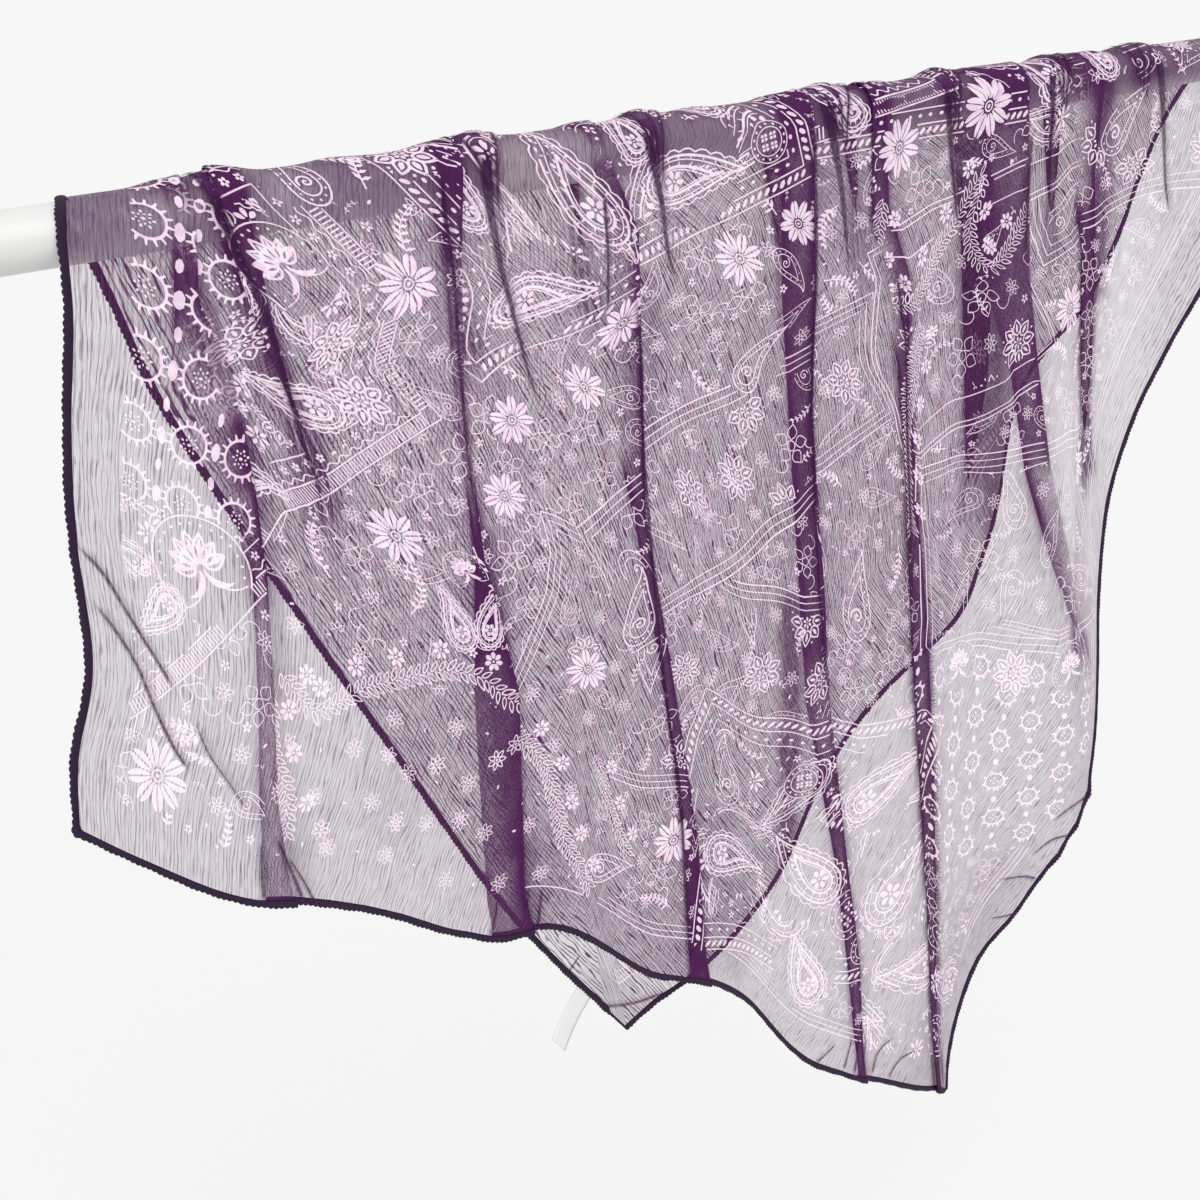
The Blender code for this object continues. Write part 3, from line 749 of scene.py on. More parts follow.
@dataclass
class Stretch:
    """A stretch of the cloth as a net, in space and flat.

    Args:
        name: The stretch's name.
        points: The net in space, columns by rows.
        start: Flat places of the first row, a column each.
        end: Flat places of the last row.
        shares: Each row's share of the way from the first to the last.
    """

    name: str
    points: Points
    start: Points
    end: Points
    shares: Points

    def __post_init__(self) -> None:
        """Works out the flat net, spaced along each row as the cloth is in space."""
        straight = mixed(self.start[:, None], self.end[:, None], self.shares[:, None])
        self.run = run_length(straight)
        spaced = run_length(self.points)
        self.spaced = spaced / spaced[-1] * self.run[-1]
        self.flat = np.empty_like(straight)
        for row in range(len(self.shares)):
            for k in (0, 1):
                line = straight[:, row, k]
                self.flat[:, row, k] = np.interp(self.spaced[:, row], self.run[:, row], line)
        way = self.end - self.start
        length = np.linalg.norm(way, axis=1)
        for end, near in ((0, 1), (-1, -2)):
            if length[end] < SMALLEST:
                way[end], length[end] = way[near], length[near]
        self.ways = way / length[:, None]
        self.right = 1.0
        self.right = np.sign(self.right_of(self.start[-1:], np.array([0])))[0]

    def columns_found(self, places: Points) -> tuple[Points, Points]:
        """The fractional straight flat column of each place, and its share of the way along it."""
        low = np.zeros(len(places), int)
        high = np.full(len(places), len(self.start) - 1)
        for _ in range(int(np.ceil(np.log2(len(self.start)))) + 1):
            middle = (low + high) // 2
            beyond = self.right_of(places, middle) < 0
            high = np.where(beyond, middle, high)
            low = np.where(beyond, low, middle)
        low = np.minimum(low, len(self.start) - 2)
        at_low, at_high = self.right_of(places, low), self.right_of(places, low + 1)
        part = np.clip(at_low / np.maximum(at_low - at_high, NARROWEST), 0, 1)
        starts = self.start[low] + (self.start[low + 1] - self.start[low]) * part[:, None]
        ends = self.end[low] + (self.end[low + 1] - self.end[low]) * part[:, None]
        way = ends - starts
        share = ((places - starts) * way).sum(axis=1) / np.maximum((way * way).sum(axis=1), TINY)
        return low + part, np.clip(share, 0, 1)

    def right_of(self, places: Points, columns: Points) -> Points:
        """How far each place lies to the right of a straight flat column."""
        off = places - self.start[columns]
        way = self.ways[columns]
        return (way[:, 0] * off[:, 1] - way[:, 1] * off[:, 0]) * self.right

    def cells(self, places: Points) -> tuple[Points, Points, Points, Points]:
        """The net's cell that holds each flat place: column, row, and the place's shares across and down."""
        column, share = self.columns_found(places)
        row = np.interp(share, self.shares, np.arange(len(self.shares)))
        low = np.minimum(row.astype(int), len(self.shares) - 2)
        part = row - low
        found = np.zeros(len(places))
        steps = np.arange(len(self.start))
        for r in np.unique(low):
            here = low == r
            for line, weight in ((r, 1 - part[here]), (r + 1, part[here])):
                run = np.interp(column[here], steps, self.run[:, line])
                found[here] += weight * np.interp(run, self.spaced[:, line], steps)
        c = np.clip(found.astype(int), 0, len(self.start) - 2)
        return c, low, (found - c)[:, None], part[:, None]

    def place(self, places: Points) -> tuple[Points, Points]:
        """Where flat places lie in space, and the cloth's outward normal there."""
        c, low, f, g = self.cells(places)
        p00, p10, p01, p11 = (self.points[c + i, low + j] for i, j in ((0, 0), (1, 0), (0, 1), (1, 1)))
        spot = mixed(mixed(p00, p10, f), mixed(p01, p11, f), g)
        normal = np.cross(mixed(p10 - p00, p11 - p01, g), mixed(p01 - p00, p11 - p10, f))
        return spot, unit(-normal if self.name == "front" else normal)

    def read(self, places: Points, table: Points) -> Points:
        """A table's values, which has one for each point of the net, at the point nearest to each place."""
        c, low, f, g = self.cells(places)
        return table[c + (f[:, 0] > 0.5), low + (g[:, 0] > 0.5)]


class Drape:
    """The whole hung cloth: both falls and the stretch over the rod, in space and flat."""

    def __init__(self) -> None:
        """Hangs the falls and works out where each of their points lies on the flat cloth."""
        edges = (FRONT_LEFT_EDGE, FRONT_LOWER_EDGE, FRONT_RIGHT_EDGE)
        self.front = Fall("front", edges, FRONT_WAVES, FRONT_RIPPLES, PLAN.front_rows)
        self.back = Fall("back", (BACK_LEFT_EDGE, BACK_RIGHT_EDGE), BACK_WAVES, BACK_RIPPLES, PLAN.back_rows)
        self.quarter = BEND_RADIUS * pi / 2
        over = over_points(self.front, self.back)
        front_top = self.top_row(over[:, 0], "AC", "BD", self.quarter)
        back_top = self.top_row(over[:, -1], "AC", "CD", -self.quarter)
        front = self.front.points()
        back = self.back.points()
        corners = FLAT.corners
        front_foot = self.foot_row(self.front, front[:, -1], (corners["A"], corners["B"], front_top[-1]))
        back_foot = self.foot_row(self.back, back[:, -1], (back_top[0], corners["C"], back_top[-1]))
        shares = np.linspace(0, 1, PLAN.over_rows + 1)
        self.stretches = (
            Stretch("front", front, front_top, front_foot, self.front.shares),
            Stretch("over", over, front_top, back_top, shares),
            Stretch("back", back, back_top, back_foot, self.back.shares),
        )

    @staticmethod
    def top_row(points: Points, left: str, right: str, below: float) -> Points:
        """Flat places of a row of points that runs along the rod, between two edges of the cut."""
        run = run_length(points)
        share = (run / run[-1])[:, None]
        return mixed(FLAT.edge_point(left, below), FLAT.edge_point(right, below), share)

    @staticmethod
    def foot_row(fall: Fall, points: Points, corners: tuple[Points, Points, Points]) -> Points:
        """Flat places of a fall's last row, along the two edges that meet at its corner."""
        turn = int(np.flatnonzero(fall.places == fall.corner)[0])
        run = run_length(points)
        first = (run[: turn + 1] / run[turn])[:, None]
        second = ((run[turn + 1:] - run[turn]) / (run[-1] - run[turn]))[:, None]
        return np.vstack([mixed(corners[0], corners[1], first), mixed(corners[1], corners[2], second)])

    def grid(self) -> tuple[Points, Points]:
        """The whole sheet as one net, from the front hem to the back edge: in space and flat."""
        return (
            end_to_end([stretch.points for stretch in self.stretches]),
            end_to_end([stretch.flat for stretch in self.stretches]),
        )

    def which(self, places: Points) -> Points:
        """The number of the stretch that each flat place lies on."""
        below = (places - FLAT.start) @ FLAT.down
        return np.where(below > self.quarter, 0, np.where(below < -self.quarter, 2, 1))

    def place(self, places: Points) -> tuple[Points, Points]:
        """Where flat places lie in space, and the cloth's outward normals."""
        which = self.which(places)
        spots, normals = np.zeros((len(places), 3)), np.zeros((len(places), 3))
        for i, stretch in enumerate(self.stretches):
            here = which == i
            if here.any():
                spots[here], normals[here] = stretch.place(places[here])
        return spots, normals

    def read(self, places: Points, tables: Sequence[Points]) -> Points:
        """The value at each flat place, from a table for each stretch."""
        which = self.which(places)
        values = np.zeros(len(places))
        for i, (stretch, table) in enumerate(zip(self.stretches, tables)):
            values[which == i] = stretch.read(places[which == i], table)
        return values


def end_to_end(tables: Sequence[Points]) -> Points:
    """Tables for the front, the rod and the back as one, from the front hem to the back edge."""
    front, over, back = tables
    return np.concatenate([front[:, ::-1], over[:, 1:], back[:, 1:]], axis=1)


# The print's drawing

@dataclass
class Drawing:
    """Strokes on the flat cloth, kept as one run of points.

    Args:
        points: The strokes' points, in metres.
        halves: Half the stroke's width at each point.
        firsts: True at the first point of each stroke.
    """

    points: Points = field(default_factory=lambda: np.zeros((0, 2)))
    halves: Points = field(default_factory=lambda: np.zeros(0))
    firsts: Points = field(default_factory=lambda: np.zeros(0, bool))

    def line(self, points: Points, width: float | Sequence[float]) -> None:
        """Adds a stroke.

        Args:
            points: The stroke's points.
            width: Its width, or its widths at even steps from start to end.
        """
        points = np.asarray(points, float)
        widths = np.atleast_1d(width)
        halves = np.interp(np.linspace(0, 1, len(points)), np.linspace(0, 1, len(widths)), widths) / 2
        firsts = np.zeros(len(points), bool)
        firsts[0] = True
        self.add(Drawing(points, halves, firsts))

    def add(self, other: "Drawing") -> None:
        """Adds another drawing's strokes."""
        self.points = np.vstack([self.points, other.points])
        self.halves = np.concatenate([self.halves, other.halves])
        self.firsts = np.concatenate([self.firsts, other.firsts])

    def ring(self, radius: float, width: float, steps: int = 24) -> None:
        """Adds a circle about the origin."""
        self.line(arc(radius, 0, 2 * pi, steps), width)

    def dot(self, centre: Sequence[float], radius: float, length: float = 1.0, turn: float = 0.0) -> None:
        """Adds a round or oval dot, as a short wide stroke."""
        way = np.array([cos(turn), sin(turn)]) * radius * length
        shares = np.array([-1.0, -0.5, 0.5, 1.0])[:, None]
        narrow, wide = 0.5 * radius, 1.75 * radius
        self.line(np.asarray(centre) + shares * way, [narrow, wide, wide, narrow])

    def around(self, other: "Drawing", count: int, start: float = 0.0) -> None:
        """Adds another drawing several times, turned evenly about the origin."""
        for k in range(count):
            self.add(other.moved(turn=start + 2 * pi * k / count))

    def moved(
        self,
        centre: Sequence[float] = (0.0, 0.0),
        turn: float = 0.0,
        scale: float = 1.0,
        mirrored: bool = False,
    ) -> "Drawing":
        """A copy that is mirrored, scaled, turned and shifted.

        Args:
            centre: Where its origin goes.
            turn: The turn, in radians.
            scale: The size, with line widths.
            mirrored: Whether its left and right are swapped first.

        Returns:
            The copy.
        """
        points = self.points * (np.array([-1, 1]) if mirrored else 1) * scale
        matrix = np.array([[cos(turn), sin(turn)], [-sin(turn), cos(turn)]])
        return Drawing(points @ matrix + np.asarray(centre), self.halves * scale, self.firsts)

    def within(self, limit: Points) -> "Drawing":
        """The part that lies within a limit of the origin, on each axis."""
        inside = (np.abs(self.points) < limit).all(axis=1)
        firsts = self.firsts | np.concatenate([[False], ~inside[:-1]])
        return Drawing(self.points[inside], self.halves[inside], firsts[inside])


def dotted(centre: Sequence[float], radius: float, length: float = 1.0, turn: float = 0.0) -> Drawing:
    """A single dot as a drawing."""
    made = Drawing()
    made.dot(centre, radius, length, turn)
    return made


def stroked(points: Points, width: float | Sequence[float]) -> Drawing:
    """A single stroke as a drawing."""
    made = Drawing()
    made.line(points, width)
    return made


def about(angle: Points) -> Points:
    """Points at each angle on a circle with a radius of 1 about the origin."""
    return np.stack([np.cos(angle), np.sin(angle)], axis=1)


def arc(radius: float, start: float, end: float, steps: int) -> Points:
    """Points of a round arc about the origin."""
    return about(np.linspace(start, end, steps + 1)) * radius


def straight(start: Sequence[float], end: Sequence[float], step: float = 0.003) -> Points:
    """Points of a straight line, a short step apart."""
    start, end = np.asarray(start, float), np.asarray(end, float)
    count = max(1, int(np.ceil(np.linalg.norm(end - start) / step)))
    return mixed(start, end, np.linspace(0, 1, count + 1)[:, None])


class Motifs:
    """The print's motifs, each drawn about the origin at its real size.

    Every method returns one motif as a Drawing whose outer radius, or height, is the size it is given.
    """

    @staticmethod
    def blossom(radius: float) -> Drawing:
        """A tiny blossom of five round petals."""
        made = Drawing()
        for k in range(5):
            angle = 2 * pi * k / 5 + pi / 2
            made.dot((radius * 0.6 * cos(angle), radius * 0.6 * sin(angle)), radius * 0.34, 1.1, angle)
        return made

    @classmethod
    def posy(cls, radius: float) -> Drawing:
        """A loose cluster of looped leaves about a dot."""
        made = Drawing()
        made.around(cls.petal_loop(radius * 0.25, radius, radius * 0.40, radius * 0.10), 7)
        made.dot((0, 0), radius * 0.14)
        return made

    @staticmethod
    def sun(radius: float) -> Drawing:
        """A round medallion with spikes and a flower of dots."""
        made = Drawing()
        made.around(stroked([(radius * 0.74, 0), (radius * 0.99, 0)], [radius * 0.17, radius * 0.08]), 17)
        made.ring(radius * 0.73, radius * 0.13)
        bead = dotted((radius * 0.34, 0), radius * 0.060)
        bead.dot((radius * 0.20, radius * 0.10), radius * 0.045)
        made.around(bead, 7)
        made.dot((0, 0), radius * 0.080)
        return made

    @staticmethod
    def floret(radius: float, petals: int = 7) -> Drawing:
        """A small flower of solid petals."""
        made = Drawing()
        widths = np.array([0.10, 0.32, 0.38, 0.14]) * radius * 8 / petals
        made.around(stroked(straight((radius * 0.28, 0), (radius, 0), radius * 0.24), widths), petals)
        made.dot((0, 0), radius * 0.12)
        return made

    @staticmethod
    def daisy(radius: float, petals: int = 9) -> Drawing:
        """A daisy of notched petals, each in two halves, about a ring."""
        made = Drawing()
        petal = Drawing()
        share = np.linspace(0.25, 1.0, 6)
        for side in (-1, 1):
            bow = side * np.array([0.030, 0.078, 0.104, 0.110, 0.092, 0.062]) * 9 / petals
            widths = np.array([0.04, 0.105, 0.150, 0.165, 0.140, 0.050]) * radius * 9 / petals
            petal.line(np.stack([share, bow], axis=1) * radius, widths)
        made.around(petal, petals)
        made.ring(radius * 0.16, radius * 0.045, 10)
        made.dot((0, 0), radius * 0.06)
        return made

    @staticmethod
    def petal_loop(inner: float, outer: float, width: float, line: float) -> Drawing:
        """A petal drawn in outline, pointing along +X."""
        share = np.linspace(0, 1, 7)
        half = width / 2 * np.sin(pi * share**0.8)
        along = inner + (outer - inner) * share
        side = np.stack([along, half], axis=1)
        return stroked(np.vstack([side, (side * (1, -1))[::-1]]), line)

    @classmethod
    def rosette(cls, radius: float, petals: int = 8) -> Drawing:
        """A large rosette of outlined petals about a small flower."""
        made = Drawing()
        petal = cls.petal_loop(radius * 0.32, radius, radius * 0.46, radius * 0.080)
        vein = [(radius * share, 0) for share in (0.46, 0.64, 0.82)]
        petal.line(vein, np.array([0.10, 0.18, 0.04]) * radius)
        made.around(petal, petals)
        made.add(cls.floret(radius * 0.26, 6))
        made.around(dotted((radius * 0.96, 0), radius * 0.055), petals, pi / petals)
        return made

    @classmethod
    def ringed(cls, radius: float) -> Drawing:
        """A medallion of rings, beads and a cross-shaped flower."""
        made = Drawing()
        made.ring(radius * 0.97, radius * 0.045, 28)
        made.ring(radius * 0.66, radius * 0.045)
        made.around(dotted((radius * 0.815, 0), radius * 0.06), 14)
        made.around(cls.floret(radius * 0.2, 4).moved((radius * 0.32, 0)), 4)
        return made

    @staticmethod
    def lobed(radius: float) -> Drawing:
        """A thick ring of lobes about a small cross."""
        made = Drawing()
        made.around(dotted((radius * 0.84, 0), radius * 0.15), 8, pi / 8)
        made.ring(radius * 0.70, radius * 0.17, 16)
        made.around(dotted((radius * 0.22, 0), radius * 0.09), 4)
        return made

    @staticmethod
    def teardrop(height: float, steps: int = 34) -> Points:
        """The bent teardrop outline of a paisley, with its round end below and its tip bent right."""
        angle = np.linspace(0, 2 * pi, steps + 1)
        y = np.cos(angle)
        x = 0.62 * np.sin(angle) * np.sin(angle / 2) ** 1.4
        rise = (y + 1) / 2
        x = x + 0.62 * rise**2.2
        return np.stack([x - 0.12, y], axis=1) * height / 2

    @classmethod
    def paisley(cls, height: float) -> Drawing:
        """A nested paisley: a scalloped edge, beads between its lines, teeth, and a flower in its belly."""
        made = Drawing()
        outline = cls.teardrop(height)
        belly = np.array([-0.06, -0.44]) * height / 2
        way = unit(np.gradient(outline, axis=0))
        outward = np.stack([-way[:, 1], way[:, 0]], axis=1)
        line = min(height, 0.038)
        scallops = 22
        fine = np.linspace(0, len(outline) - 1, scallops * 3 + 1)
        bump = 0.030 + 0.030 * np.abs(np.sin(np.linspace(0, pi * scallops, len(fine))))
        made.line(on_line(outline, fine) + on_line(outward, fine) * bump[:, None] * height, line * 0.016)
        for share, width in ((1.0, 0.026), (0.84, 0.013), (0.58, 0.030), (0.46, 0.013)):
            made.line(belly + (outline - belly) * share, line * width)
        for spot in belly + (on_line(outline, np.linspace(1, len(outline) - 2, 24)) - belly) * 0.92:
            made.dot(spot, height * 0.010)
        for spot in on_line(outline, np.linspace(2, len(outline) - 3, 18)) - belly:
            made.line([belly + spot * 0.62, belly + spot * 0.77], np.array([0.020, 0.004]) * height)
        made.add(cls.floret(height * 0.105, 6).moved(belly))
        for k in range(3):
            spot = (height * (-0.03 + 0.03 * k + 0.03 * k * k), height * (0.03 + 0.12 * k))
            made.dot(spot, height * (0.022 - 0.005 * k), 1.3, pi / 2)
        return made

    @classmethod
    def line_paisley(cls, height: float) -> Drawing:
        """A paisley in thin lines, with beads and a curl in its belly."""
        made = Drawing()
        outline = cls.teardrop(height, 26)
        belly = np.array([-0.06, -0.40]) * height / 2
        made.line(outline, min(height, 0.030) * 0.020)
        made.line(belly + (outline - belly) * 0.62, min(height, 0.030) * 0.018)
        for spot in belly + (on_line(outline, np.linspace(1, len(outline) - 2, 16)) - belly) * 0.81:
            made.dot(spot, height * 0.014)
        angle = np.linspace(0, 3 * pi, 14)
        curl = about(angle) * (angle * 0.011 * height)[:, None]
        made.line(belly + curl, height * 0.022)
        return made

    @classmethod
    def lotus(cls, radius: float) -> Drawing:
        """A lotus of outlined petals in a beaded arc, over two bowed leaves."""
        made = Drawing()
        for k in range(7):
            reach = radius * (0.74 - 0.04 * abs(k - 3))
            petal = cls.petal_loop(radius * 0.12, reach, radius * 0.27, radius * 0.055)
            vein = [(radius * share, 0) for share in (0.24, 0.42, 0.60)]
            petal.line(vein, np.array([0.03, 0.12, 0.02]) * radius)
            made.add(petal.moved(turn=pi * (k + 0.5) / 7))
        made.line(arc(radius, -0.6, pi + 0.6, 28), radius * 0.030)
        for angle in np.linspace(-0.45, pi + 0.45, 17):
            made.dot((radius * 0.86 * cos(angle), radius * 0.86 * sin(angle)), radius * 0.030)
        for side in (-1, 1):
            leaf = arc(radius * 0.42, pi * 1.02, pi * 1.55, 7) + (radius * 0.46, radius * 0.02)
            made.line(leaf * (side, 1), np.array([0.02, 0.10, 0.15, 0.09, 0.02]) * radius)
            made.line(leaf * (side * 1.45, 1.35), radius * 0.03)
        return made

    @staticmethod
    def spray(length: float, pairs: int = 5) -> Drawing:
        """A bent stem with pairs of small leaves."""
        made = Drawing()
        share = np.linspace(0, 1, 9)
        stem = np.stack([share, 0.16 * np.sin(pi * share)], axis=1) * length
        made.line(stem, [length * 0.035, length * 0.02])
        for k in range(pairs):
            at = on_line(stem, np.array([1.2 + 7.0 * k / pairs]))[0]
            for side in (-1, 1):
                turn = side * 0.9
                tip = at + np.array([cos(turn), sin(turn)]) * length * 0.17 * (1 - 0.08 * k)
                made.line(np.array([at, (at + tip) / 2, tip]), np.array([0.02, 0.085, 0.015]) * length)
        return made

    @classmethod
    def scroll_flower(cls, radius: float) -> Drawing:
        """A flower in thin outline with two curled tendrils."""
        made = Drawing()
        made.around(cls.petal_loop(radius * 0.18, radius * 0.62, radius * 0.36, radius * 0.035), 5, pi / 2)
        made.ring(radius * 0.15, radius * 0.035, 10)
        for side in (-1, 1):
            angle = np.linspace(0, 3.6, 12)
            curl = about(angle) * (radius * (0.36 - 0.07 * angle))[:, None]
            made.line((curl + (radius * 0.62, radius * 0.25)) * (side, 1), [radius * 0.03, radius * 0.05])
        return made


class Border(Enum):
    """How a patch is edged."""

    PLAIN = "plain"
    LADDER = "ladder"
    ROPE = "rope"
    COMB = "comb"
    LINES = "lines"


class Field(Enum):
    """What fills a patch."""

    SUNS = "suns"
    PAISLEYS = "paisleys"
    LINE_PAISLEYS = "line paisleys"
    RINGS = "rings"
    ROSETTES = "rosettes"
    DAISIES = "daisies"
    TINY = "tiny blossoms"


@dataclass(frozen=True)
class Patch:
    """A patch of the print: a turned rectangle.

    Args:
        centre: Its middle on the flat cloth, in metres.
        size: Its width and height, in metres.
        turn: Its turn, in degrees.
        border: How it is edged.
        fill: What fills it.
        scale: How much larger than usual its motifs are.
    """

    centre: tuple[float, float]
    size: tuple[float, float]
    turn: float
    border: Border
    fill: Field
    scale: float = 1.0

    @property
    def extent(self) -> Points:
        """Its width and height before its scale."""
        return np.array(self.size) / self.scale

    @property
    def shape(self) -> Points:
        """The matrix of its turn and scale."""
        angle = radians(self.turn)
        return self.scale * np.array([[cos(angle), -sin(angle)], [sin(angle), cos(angle)]])

    def holds(self, places: Points) -> Points:
        """Whether each flat place lies in the patch."""
        local = (places - np.array(self.centre)) @ np.linalg.inv(self.shape).T
        return (np.abs(local) < self.extent / 2).all(axis=1)

    def drawn(self, seed: int) -> Drawing:
        """The patch's whole drawing on the flat cloth."""
        made = Drawing()
        for k in range(4):
            side = Drawing()
            edge_side(side, self.border, self.extent[k % 2], self.extent[1 - k % 2] / 2)
            made.add(side.moved(turn=k * pi / 2))
        depth = BORDER_DEPTH[self.border]
        chance = np.random.default_rng(seed)
        self.filled(made, depth, chance)
        self.sprinkled(made, depth, chance)
        points = made.points @ self.shape.T + np.array(self.centre)
        return Drawing(points, made.halves * self.scale**0.5 * STROKE_WIDTH, made.firsts)

    def filled(self, made: Drawing, depth: float, chance: np.random.Generator) -> None:
        """Fills the patch inside its border with staggered rows of motifs."""
        plan = FILLS[self.fill]
        width, height = limit = self.extent / 2 - depth
        rows = int(np.ceil(height / plan.row_step))
        columns = int(np.ceil(width / plan.column_step)) + 1
        for row in range(-rows, rows + 1):
            for column in range(-columns, columns + 1):
                shift = plan.column_step * plan.stagger if row % 2 else 0.0
                spot = np.array([column * plan.column_step + shift, row * plan.row_step])
                spot = spot + chance.uniform(-1, 1, 2) * plan.looseness
                pick = int(chance.integers(len(plan.motifs)))
                turn = chance.choice(plan.turns) + chance.uniform(-0.15, 0.15)
                mirrored = bool(chance.integers(2))
                if (np.abs(spot) > limit + plan.overhang).any():
                    continue
                made.add(plan.motifs[pick].moved(spot, turn, mirrored=mirrored).within(limit))
                between = spot + np.array([plan.column_step / 2, 0.0])
                for small, place in zip(plan.between, (between, between + (0, plan.row_step / 2))):
                    made.add(small.moved(place, turn).within(limit))

    def sprinkled(self, made: Drawing, depth: float, chance: np.random.Generator) -> None:
        """Sprinkles small motifs where the patch is still bare."""
        plan = FILLS[self.fill]
        if not plan.sprinkle:
            return
        limit = self.extent / 2 - depth - plan.clear
        taken = {tuple(cell) for cell in np.floor(made.points / plan.clear).astype(int)}
        spots = chance.uniform(-1, 1, (int(limit.prod() * 4 / plan.clear**2 * 3), 2)) * limit
        for spot in spots:
            column, row = np.floor(spot / plan.clear).astype(int)
            near = {(column + i, row + j) for i in (-1, 0, 1) for j in (-1, 0, 1)}
            if near & taken:
                continue
            taken.add((column, row))
            small = plan.sprinkle[int(chance.integers(len(plan.sprinkle)))]
            made.add(small.moved(spot, chance.uniform(0, 2 * pi)))


def edge_side(made: Drawing, border: Border, length: float, reach: float) -> None:
    """Draws a border along one side of a patch, on its lower edge.

    Args:
        made: The drawing to add to.
        border: The border's kind.
        length: The side's length.
        reach: How far the side lies from the patch's middle.
    """
    def rail(inset: float, width: float) -> None:
        """Draws a line along the side."""
        half, level = length / 2 - inset, -reach + inset
        made.line(straight((-half, level), (half, level)), width)

    def steps(step: float, inset: float) -> Iterable[float]:
        """Even places along the side."""
        count = int((length - 2 * inset) / step)
        return ((k - count / 2 + 0.5) * step for k in range(count))

    if border is Border.PLAIN:
        return
    rail(0.0008, 0.0007)
    if border is Border.LADDER:
        rail(0.0062, 0.0007)
        for x in steps(0.0015, 0.006):
            made.line([(x, -reach + 0.0014), (x, -reach + 0.0056)], 0.0007)
        wave = np.linspace(-length / 2 + 0.010, length / 2 - 0.010, max(8, int(length / 0.0009)))
        made.line(np.stack([wave, -reach + 0.0082 + 0.0008 * np.sin(wave * 2 * pi / 0.0064)], axis=1), 0.0006)
        for x in steps(0.0064, 0.012):
            made.add(BLOSSOM_SMALL.moved((x, -reach + 0.0118)))
        rail(0.0150, 0.0006)
    elif border is Border.ROPE:
        for x in steps(0.0034, 0.005):
            made.dot((x, -reach + 0.0034), 0.0011, 1.5, 0.8)
        rail(0.0060, 0.0007)
        for x in steps(0.0052, 0.009):
            made.dot((x, -reach + 0.0092), 0.0009)
        rail(0.0118, 0.0006)
    elif border is Border.COMB:
        rail(0.0026, 0.0006)
        for x in steps(0.0030, 0.008):
            made.line([(x, -reach + 0.0034), (x, -reach + 0.0100)], [0.0013, 0.0008])
        rail(0.0112, 0.0006)
    elif border is Border.LINES:
        rail(0.0034, 0.0005)
        rail(0.0060, 0.0005)


@dataclass(frozen=True)
class FillPlan:
    """How a field is filled.

    Args:
        motifs: Its main motifs.
        between: What lies half way between them, beside and above.
        column_step: The step between motifs in a row.
        row_step: The step between rows, of which every other one is shifted by half a step.
        looseness: How far a motif may stray.
        stagger: How much of a step every other row is shifted by.
        turns: The turns that its motifs may have.
        sprinkle: Small motifs for the bare places.
        clear: How bare a place must be for one.
        overhang: How far past the field's edge a motif may be centred.
    """

    motifs: tuple[Drawing, ...]
    between: tuple[Drawing, ...]
    column_step: float
    row_step: float
    looseness: float = 0.0
    stagger: float = 0.5
    turns: tuple[float, ...] = (0.0,)
    sprinkle: tuple[Drawing, ...] = ()
    clear: float = 0.0026
    overhang: float = 0.010


def oval(radius: float, length: float) -> Drawing:
    """A single upright oval dot."""
    return dotted((0, 0), radius, length, pi / 2)


STROKE_WIDTH = 0.76
BORDER_DEPTH = {
    Border.PLAIN: 0.0,
    Border.LADDER: 0.018,
    Border.ROPE: 0.0135,
    Border.COMB: 0.013,
    Border.LINES: 0.008,
}
BLOSSOM_SMALL = Motifs.blossom(0.0018)
BEAD = oval(0.0015, 1.5)
SEED = oval(0.0006, 1.6)
SPRIG = Motifs.spray(0.0065, 3)
EVERY_WAY = (0.0, pi / 2, pi, pi * 1.5)
FILLS = {
    Field.SUNS: FillPlan(
        (Motifs.sun(0.0082),), (oval(0.0021, 1.4), BEAD), 0.0190, 0.0210, 0.0, 0.0, (0.0,),
        (BLOSSOM_SMALL, SEED), 0.0022,
    ),
    Field.PAISLEYS: FillPlan(
        (Motifs.paisley(0.040), Motifs.paisley(0.034), Motifs.paisley(0.046), Motifs.ringed(0.0105)),
        (Motifs.floret(0.0052, 8), Motifs.spray(0.015)), 0.0440, 0.0260, 0.0020, 0.5, EVERY_WAY,
        (BLOSSOM_SMALL, SEED, SPRIG, SEED), 0.0021,
    ),
    Field.LINE_PAISLEYS: FillPlan(
        (
            Motifs.line_paisley(0.026), Motifs.scroll_flower(0.0125), Motifs.line_paisley(0.020),
            Motifs.rosette(0.0088),
        ),
        (Motifs.posy(0.0034), Motifs.spray(0.012)), 0.0300, 0.0190, 0.0030, 0.5, EVERY_WAY,
        (SEED, BLOSSOM_SMALL, SPRIG), 0.0030,
    ),
    Field.RINGS: FillPlan((Motifs.lobed(0.0076),), (oval(0.0021, 1.0), SEED), 0.0370, 0.0135, overhang=0.006),
    Field.ROSETTES: FillPlan(
        (Motifs.rosette(0.0098), Motifs.paisley(0.030), Motifs.rosette(0.0078), Motifs.paisley(0.024)),
        (Motifs.floret(0.0042, 7), Motifs.spray(0.012)), 0.0250, 0.0155, 0.0012, 0.5, EVERY_WAY,
        (BLOSSOM_SMALL, SEED, SPRIG), 0.0018,
    ),
    Field.DAISIES: FillPlan(
        (
            Motifs.scroll_flower(0.0115), Motifs.spray(0.020, 7), Motifs.scroll_flower(0.0140),
            Motifs.line_paisley(0.020),
        ),
        (Motifs.posy(0.0036), BLOSSOM_SMALL), 0.0270, 0.0170, 0.0030, 0.5, EVERY_WAY, (SEED, SPRIG), 0.0030,
    ),
    Field.TINY: FillPlan((Motifs.posy(0.0042),), (SEED,), 0.0300, 0.0200, 0.0030, 0.5, EVERY_WAY),
}

